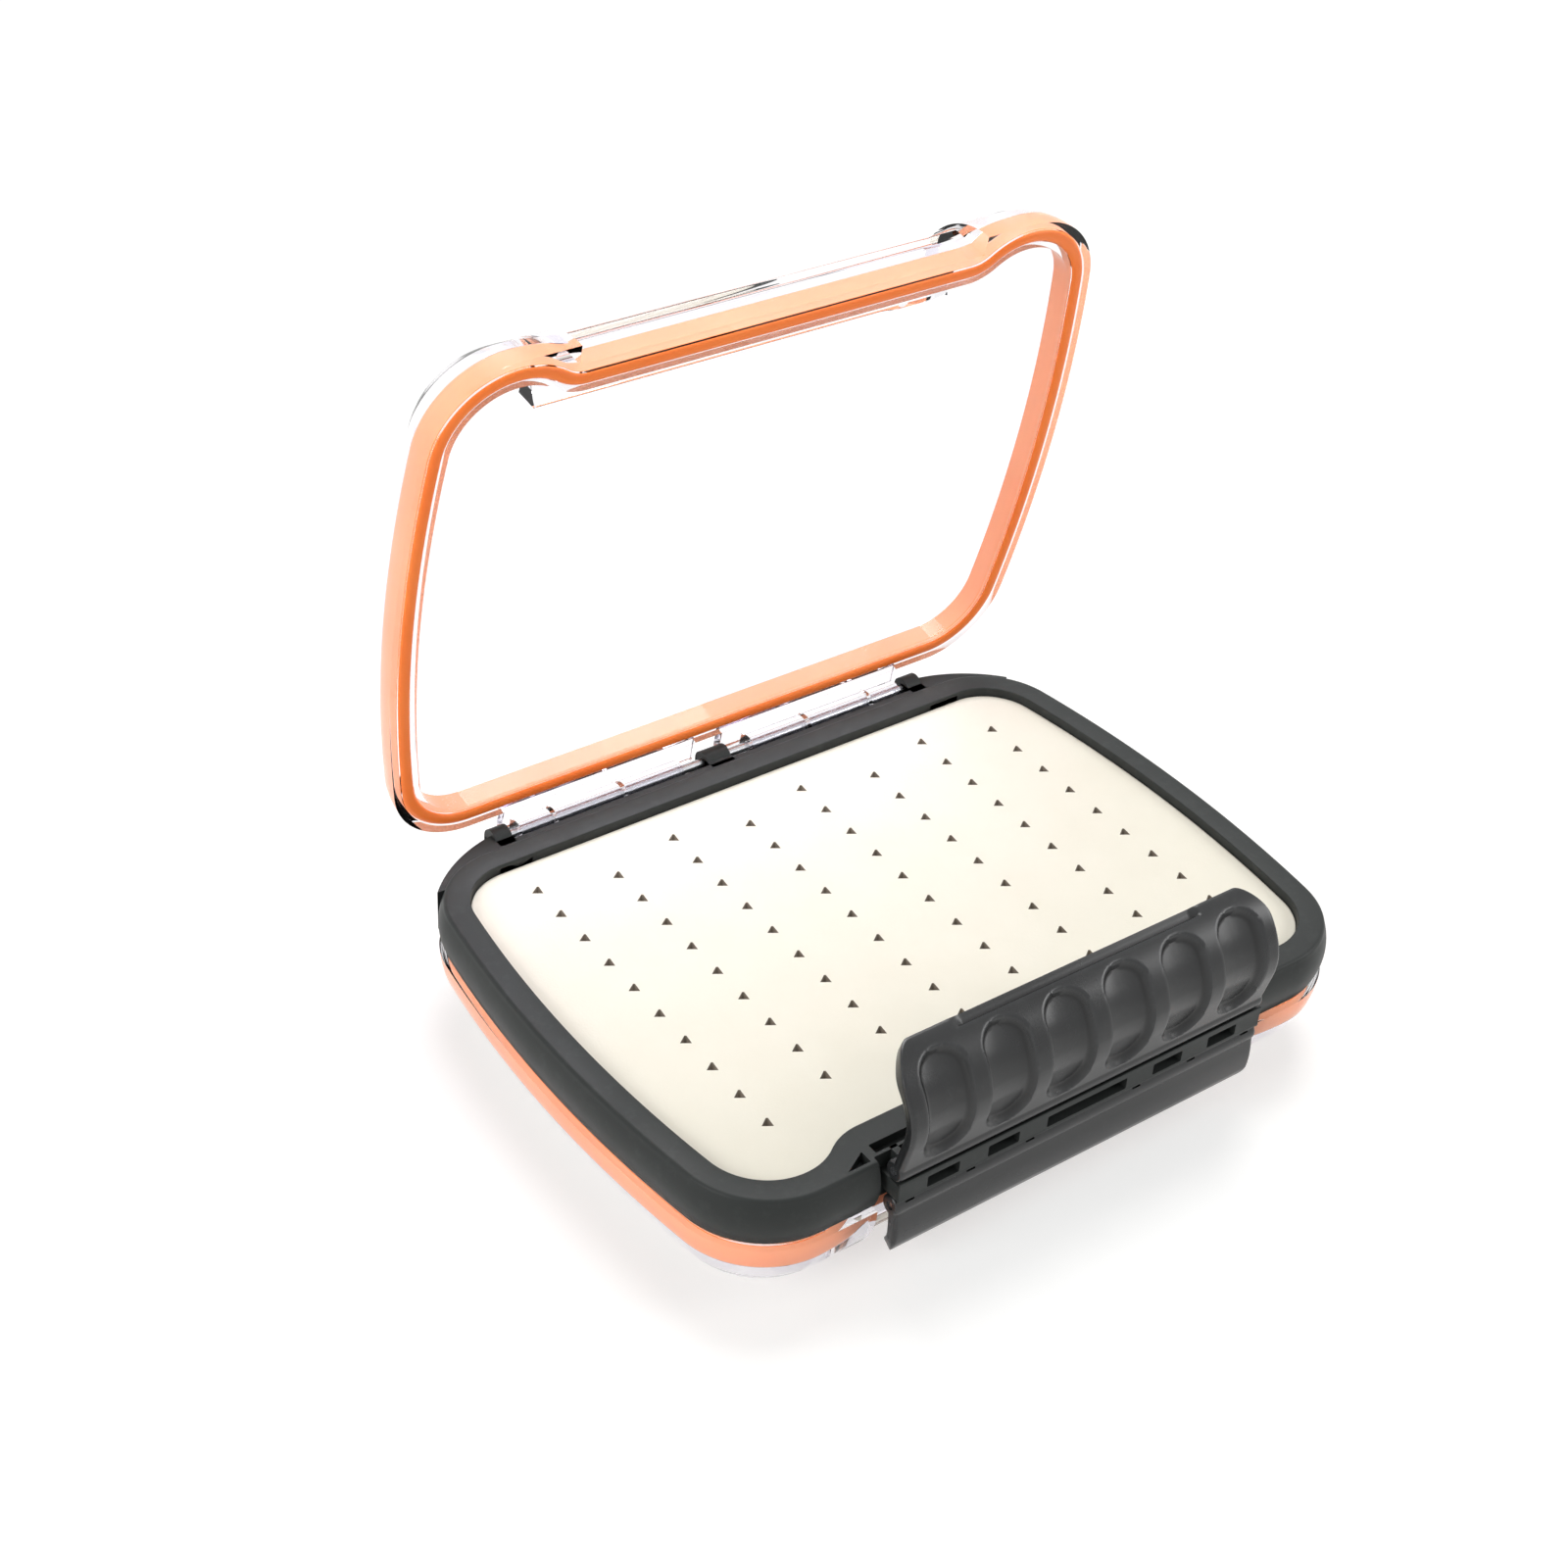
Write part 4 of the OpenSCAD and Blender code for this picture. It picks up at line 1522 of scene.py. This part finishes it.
    def _lug_slot(self) -> Piece:
        """Models room for one lug's eye, and a fan for its arm through the swing.

        Returns:
            The cutter.
        """
        room, reach = self.lug_room, 2 * self.barrel_r
        first, last = self.drawn_at, self.drawn_at - self.swing
        spread, far = math.degrees(math.atan2(room, reach)), math.hypot(room, reach)
        profile = []
        for r, start, end in ((far, first + spread, last - spread), (room, last - 90, first - 270)):
            profile += [(r * math.cos(a), r * math.sin(a)) for a in turns(start, end, self.slot_steps)]
        half = self.lug_slot_half
        rings = [[(x, y, z) for y, z in profile] for x in (-half, half)]
        return lofted("slot", rings, closed=False, capped=True)

    def build(self, name: str) -> Piece:
        """Models the latch.

        Args:
            name: Name of the piece.

        Returns:
            The latch, in mm round its pin.
        """
        latch = lofted(name, [self._section(x) for x in self._stations()], closed=False, capped=True)
        slots = repeated(self._lug_slot(), [(x, 0.0) for x in self.lug_places])
        boolean(latch, slots, "DIFFERENCE")
        boolean(latch, rod("pin_bore", self.pin_bore_r, self.length / 2 + OVERLAP, 0, 0), "DIFFERENCE")
        smooth(latch, 40)
        return latch


# --- Studio ---


@dataclass
class Studio:
    """Camera at the photo's angle, pale floor and soft lamps. Lengths here are in metres."""

    camera_at: Point = (-0.2482, -0.2776, 0.3247)
    looks: Point = (0.50254, 0.62987, -0.59222)
    up: Point = (0.3103, 0.5079, 0.8036)
    lens: float = 59.77
    sensor: float = 36.0
    floor_size: float = 12.0
    floor_colour: str = "F7F7F5"
    white_share: float = 0.34
    white_strength: float = 1.65
    world_strength: float = 0.28
    sun_from: Point = (0.3, 0.42, 1.0)
    sun_strength: float = 1.5
    sun_spread: float = 30.0
    aim_at: Point = (0.0, 0.0, 0.03)
    lamps: tuple[tuple[str, Point, float, float], ...] = (  # name, place, size and watts
        ("left softbox", (-0.75, -0.1, 0.4), 0.35, 2.6),
        ("right softbox", (0.6, -0.4, 0.4), 0.3, 1.6),
    )

    def camera(self) -> None:
        """Adds the camera and makes it the scene's own."""
        data = bpy.data.cameras.new("camera")
        data.lens, data.sensor_width = self.lens, self.sensor
        data.clip_start, data.clip_end = 0.01, 20.0
        camera = bpy.data.objects.new("camera", data)
        back = -Vector(self.looks).normalized()
        up = Vector(self.up).normalized()
        right = up.cross(back).normalized()
        up = back.cross(right)
        turn = Matrix((right, up, back)).transposed().to_4x4()
        camera.matrix_world = Matrix.Translation(self.camera_at) @ turn
        bpy.context.scene.collection.objects.link(camera)
        bpy.context.scene.camera = camera

    def _seen_white(self, tree: Tree) -> Socket:
        """Tells the rays that see the studio from the rays that carry its light.

        Args:
            tree: Tree of the floor or the world.

        Returns:
            1 for rays from the camera, off gloss or through glass, and 0 for the others.
        """
        rays = add_node(tree, "LightPath").outputs
        first = add_node(
            tree, "Math", operation="MAXIMUM", i0=rays["Is Camera Ray"], i1=rays["Is Glossy Ray"],
        )
        return add_node(
            tree, "Math", operation="MAXIMUM", i0=first.outputs[0], i1=rays["Is Transmission Ray"],
        ).outputs[0]

    def floor(self) -> None:
        """Adds the floor, which is white where nothing shades it."""
        deselect_all()
        bpy.ops.mesh.primitive_plane_add(size=self.floor_size)
        floor = bpy.context.object
        floor.name = "floor"
        material = bpy.data.materials.new("paper backdrop, white")
        material.use_nodes = True
        tree = material.node_tree
        tree.nodes.clear()
        paper = add_node(tree, "BsdfDiffuse", Color=linear(self.floor_colour))
        white = add_node(tree, "Emission", Color=linear("FFFFFF"), Strength=self.white_strength)
        part = add_node(tree, "Math", operation="MULTIPLY", i0=self._seen_white(tree), i1=self.white_share)
        mix = add_node(
            tree, "MixShader", Fac=part.outputs[0], i1=paper.outputs[0], i2=white.outputs[0],
        )
        add_node(tree, "OutputMaterial", Surface=mix.outputs[0])
        floor.data.materials.append(material)

    def world(self) -> None:
        """Adds the sky of the studio: white to the eye, and dimmer as a light."""
        world = bpy.data.worlds.new("studio")
        bpy.context.scene.world = world
        world.use_nodes = True
        tree = world.node_tree
        tree.nodes.clear()
        strength = add_node(
            tree, "MapRange", Value=self._seen_white(tree), To_Min=self.world_strength, To_Max=1.0,
        )
        sky = add_node(tree, "Background", Color=linear("FFFFFF"), Strength=strength.outputs["Result"])
        add_node(tree, "OutputWorld", Surface=sky.outputs[0])

    def _hang(self, data: bpy.types.Light, place: Point, aim: Vector) -> None:
        """Hangs a lamp.

        Args:
            data: The light itself.
            place: Where it hangs.
            aim: Direction in which it shines.
        """
        lamp = bpy.data.objects.new(data.name, data)
        lamp.matrix_world = Matrix.Translation(place) @ aim.to_track_quat("-Z", "Y").to_matrix().to_4x4()
        bpy.context.scene.collection.objects.link(lamp)

    def light(self) -> None:
        """Adds a broad key light from behind, even over the whole floor, and the softboxes."""
        key = bpy.data.lights.new("key light", "SUN")
        key.energy, key.angle = self.sun_strength, math.radians(self.sun_spread)
        self._hang(key, (0, 0, 0), -Vector(self.sun_from))
        for name, place, size, power in self.lamps:
            box = bpy.data.lights.new(name, "AREA")
            box.shape, box.size, box.energy = "SQUARE", size, power
            self._hang(box, place, Vector(self.aim_at) - Vector(place))

    def build(self) -> None:
        """Sets up the whole studio."""
        self.camera()
        self.floor()
        self.world()
        self.light()
        bpy.context.scene.view_settings.view_transform = "Standard"


# --- Fly box ---


def joint(name: str) -> dict:
    """A joint of the frame by its name."""
    return next(j for j in frame["joints"] if j["name"] == name)


def case_place(half: Half) -> Matrix:
    """Turns mm round the middle plane into metres, to the half's own side.

    Args:
        half: The half of the box.

    Returns:
        The matrix.
    """
    middle = sum(joint(f"{side.prefix}_lid_hinge")["pos_m"][2] for side in Half) / 2
    return Matrix.Translation((0, 0, middle)) @ Matrix.Diagonal((MM, MM, half.sign * MM, 1))


def lid_place(half: Half) -> Matrix:
    """Turns a closed lid's mm into metres, open as the lid stands at rest.

    Args:
        half: The half of the box.

    Returns:
        The matrix.
    """
    if half is Half.LOWER:
        return case_place(half)
    hinge = joint("upper_lid_hinge")
    pivot, turn = Vector(hinge["pos_m"]), -math.radians(hinge["range_deg"][1])
    opened = Matrix.Translation(pivot) @ Matrix.Rotation(turn, 4, "X") @ Matrix.Translation(-pivot)
    return opened @ case_place(half)


def latch_place(half: Half) -> Matrix:
    """Turns mm round a latch's pin into metres at its own pin."""
    pivot = Vector(joint(f"{half.prefix}_latch_hinge")["pos_m"])
    return Matrix.Translation(pivot) @ Matrix.Diagonal((MM, MM, half.sign * MM, 1))


@dataclass
class FlyBox:
    """The whole box: builds each sub-assembly, dresses it and fits it to the frame."""

    outline: CaseOutline = field(default_factory=CaseOutline)
    plastic: Finish = MouldedPlastic(
        "abs, moulded, dark grey", "2F3231", "373A39", roughness=0.45, gloss=0.22,
    )
    # The latch's finish paints highlight on its ridges and shade in its bowls and inner corners.
    latch_plastic: Finish = MouldedPlastic(
        "abs, moulded, charcoal", "1D1E1F", "272829", roughness=0.28, gloss=0.5, edge_share=0.9,
    )
    # Painted shade: a darker foam colour on the slits' inner faces stands for the shade deep in them.
    cut_foam: Finish = ClosedCellFoam("eva foam, painted shade in the slits", "8F8474", "7A6F61")
    # Painted light: a paler orange for the cord inside the groove, standing for light scattered through matt
    # plastic.
    veiled_rubber: Finish = SiliconeRubber("silicone rubber, orange, behind matt plastic", "F79C72", "F8AC84")

    def latch(self, half: Half) -> Latch:
        """Gives the latch of one half: the two differ, as the photo shows them.

        Args:
            half: The half of the box.

        Returns:
            The latch's sizes.
        """
        if half is Half.UPPER:
            return Latch(
                straight=9.0, curve_r=14.0, bow=3.9, wrap=73.0, grip_start=1.5, drawn_at=30.0,
                grip_depth=1.7, grip_scoop=0.5, grip_end=3.3, strip_half=26.4,
            )
        return Latch(
            straight=5.6, curve_r=8.0, bow=2.2, wrap=65.0, grip_start=10.7, drawn_at=0.0,
            grip_depth=0.7, grip_scoop=0.1, grip_end=0.5,
        )

    def build(self) -> None:
        """Builds and dresses every piece."""
        plastic, latch_plastic = self.plastic.build(), self.latch_plastic.build()
        foam, cut_foam = ClosedCellFoam().build(), self.cut_foam.build()
        rubber, veiled_rubber = SiliconeRubber().build(), self.veiled_rubber.build()
        clear, wire = ClearPolycarbonate().build(), DrawnWire().build()
        hand_over(Case(self.outline).build(), case_place(Half.UPPER), plastic, "case", "frame", "frame")
        sheets, lids = FoamSheet(self.outline), Lid(self.outline)
        sheet_model, lid_model, cord_model = sheets.build(), lids.build("lid"), lids.gasket("gasket")
        mouths, pale_painted_faces = sheets.mouth_faces(sheet_model), lids.veiled_faces(cord_model)
        for half in Half:
            name, lid_body = half.prefix, f"{half.body}_lid"
            sheet = twin(sheet_model, f"{name}_foam_sheet")
            hand_over(sheet, case_place(half), foam, "case", "foam", f"{name}_foam")
            # Painted shade on the faces inside the slits.
            dress_faces(sheet, cut_foam, mouths)
            lid = twin(lid_model, f"{name}_lid_moulding")
            hand_over(lid, lid_place(half), clear, lid_body, "clear", f"{name}_lid")
            cord = twin(cord_model, f"{name}_gasket_cord")
            hand_over(cord, lid_place(half), rubber, lid_body, "gasket", f"{name}_gasket")
            # Painted light: the cord's faces inside the groove get the paler orange.
            dress_faces(cord, veiled_rubber, pale_painted_faces)
            latch = self.latch(half).build(f"{name}_latch_moulding")
            hand_over(latch, latch_place(half), latch_plastic, f"{half.body}_latch", "latch", f"{name}_latch")
            for kind in ("hinge", "latch"):
                pin = frame["nodes"][f"{name}_{kind}_pin"]
                pin.data.materials.clear()
                pin.data.materials.append(wire)
                log.info("%s: keeps its CAD mesh", pin.name)
        for model in (sheet_model, lid_model, cord_model):
            bpy.data.objects.remove(model, do_unlink=True)


def main() -> None:
    """Builds the studio and the box."""
    logging.basicConfig(level=logging.INFO, format="%(message)s")
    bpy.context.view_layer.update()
    Studio().build()
    FlyBox().build()


if __name__ == "__main__":
    main()
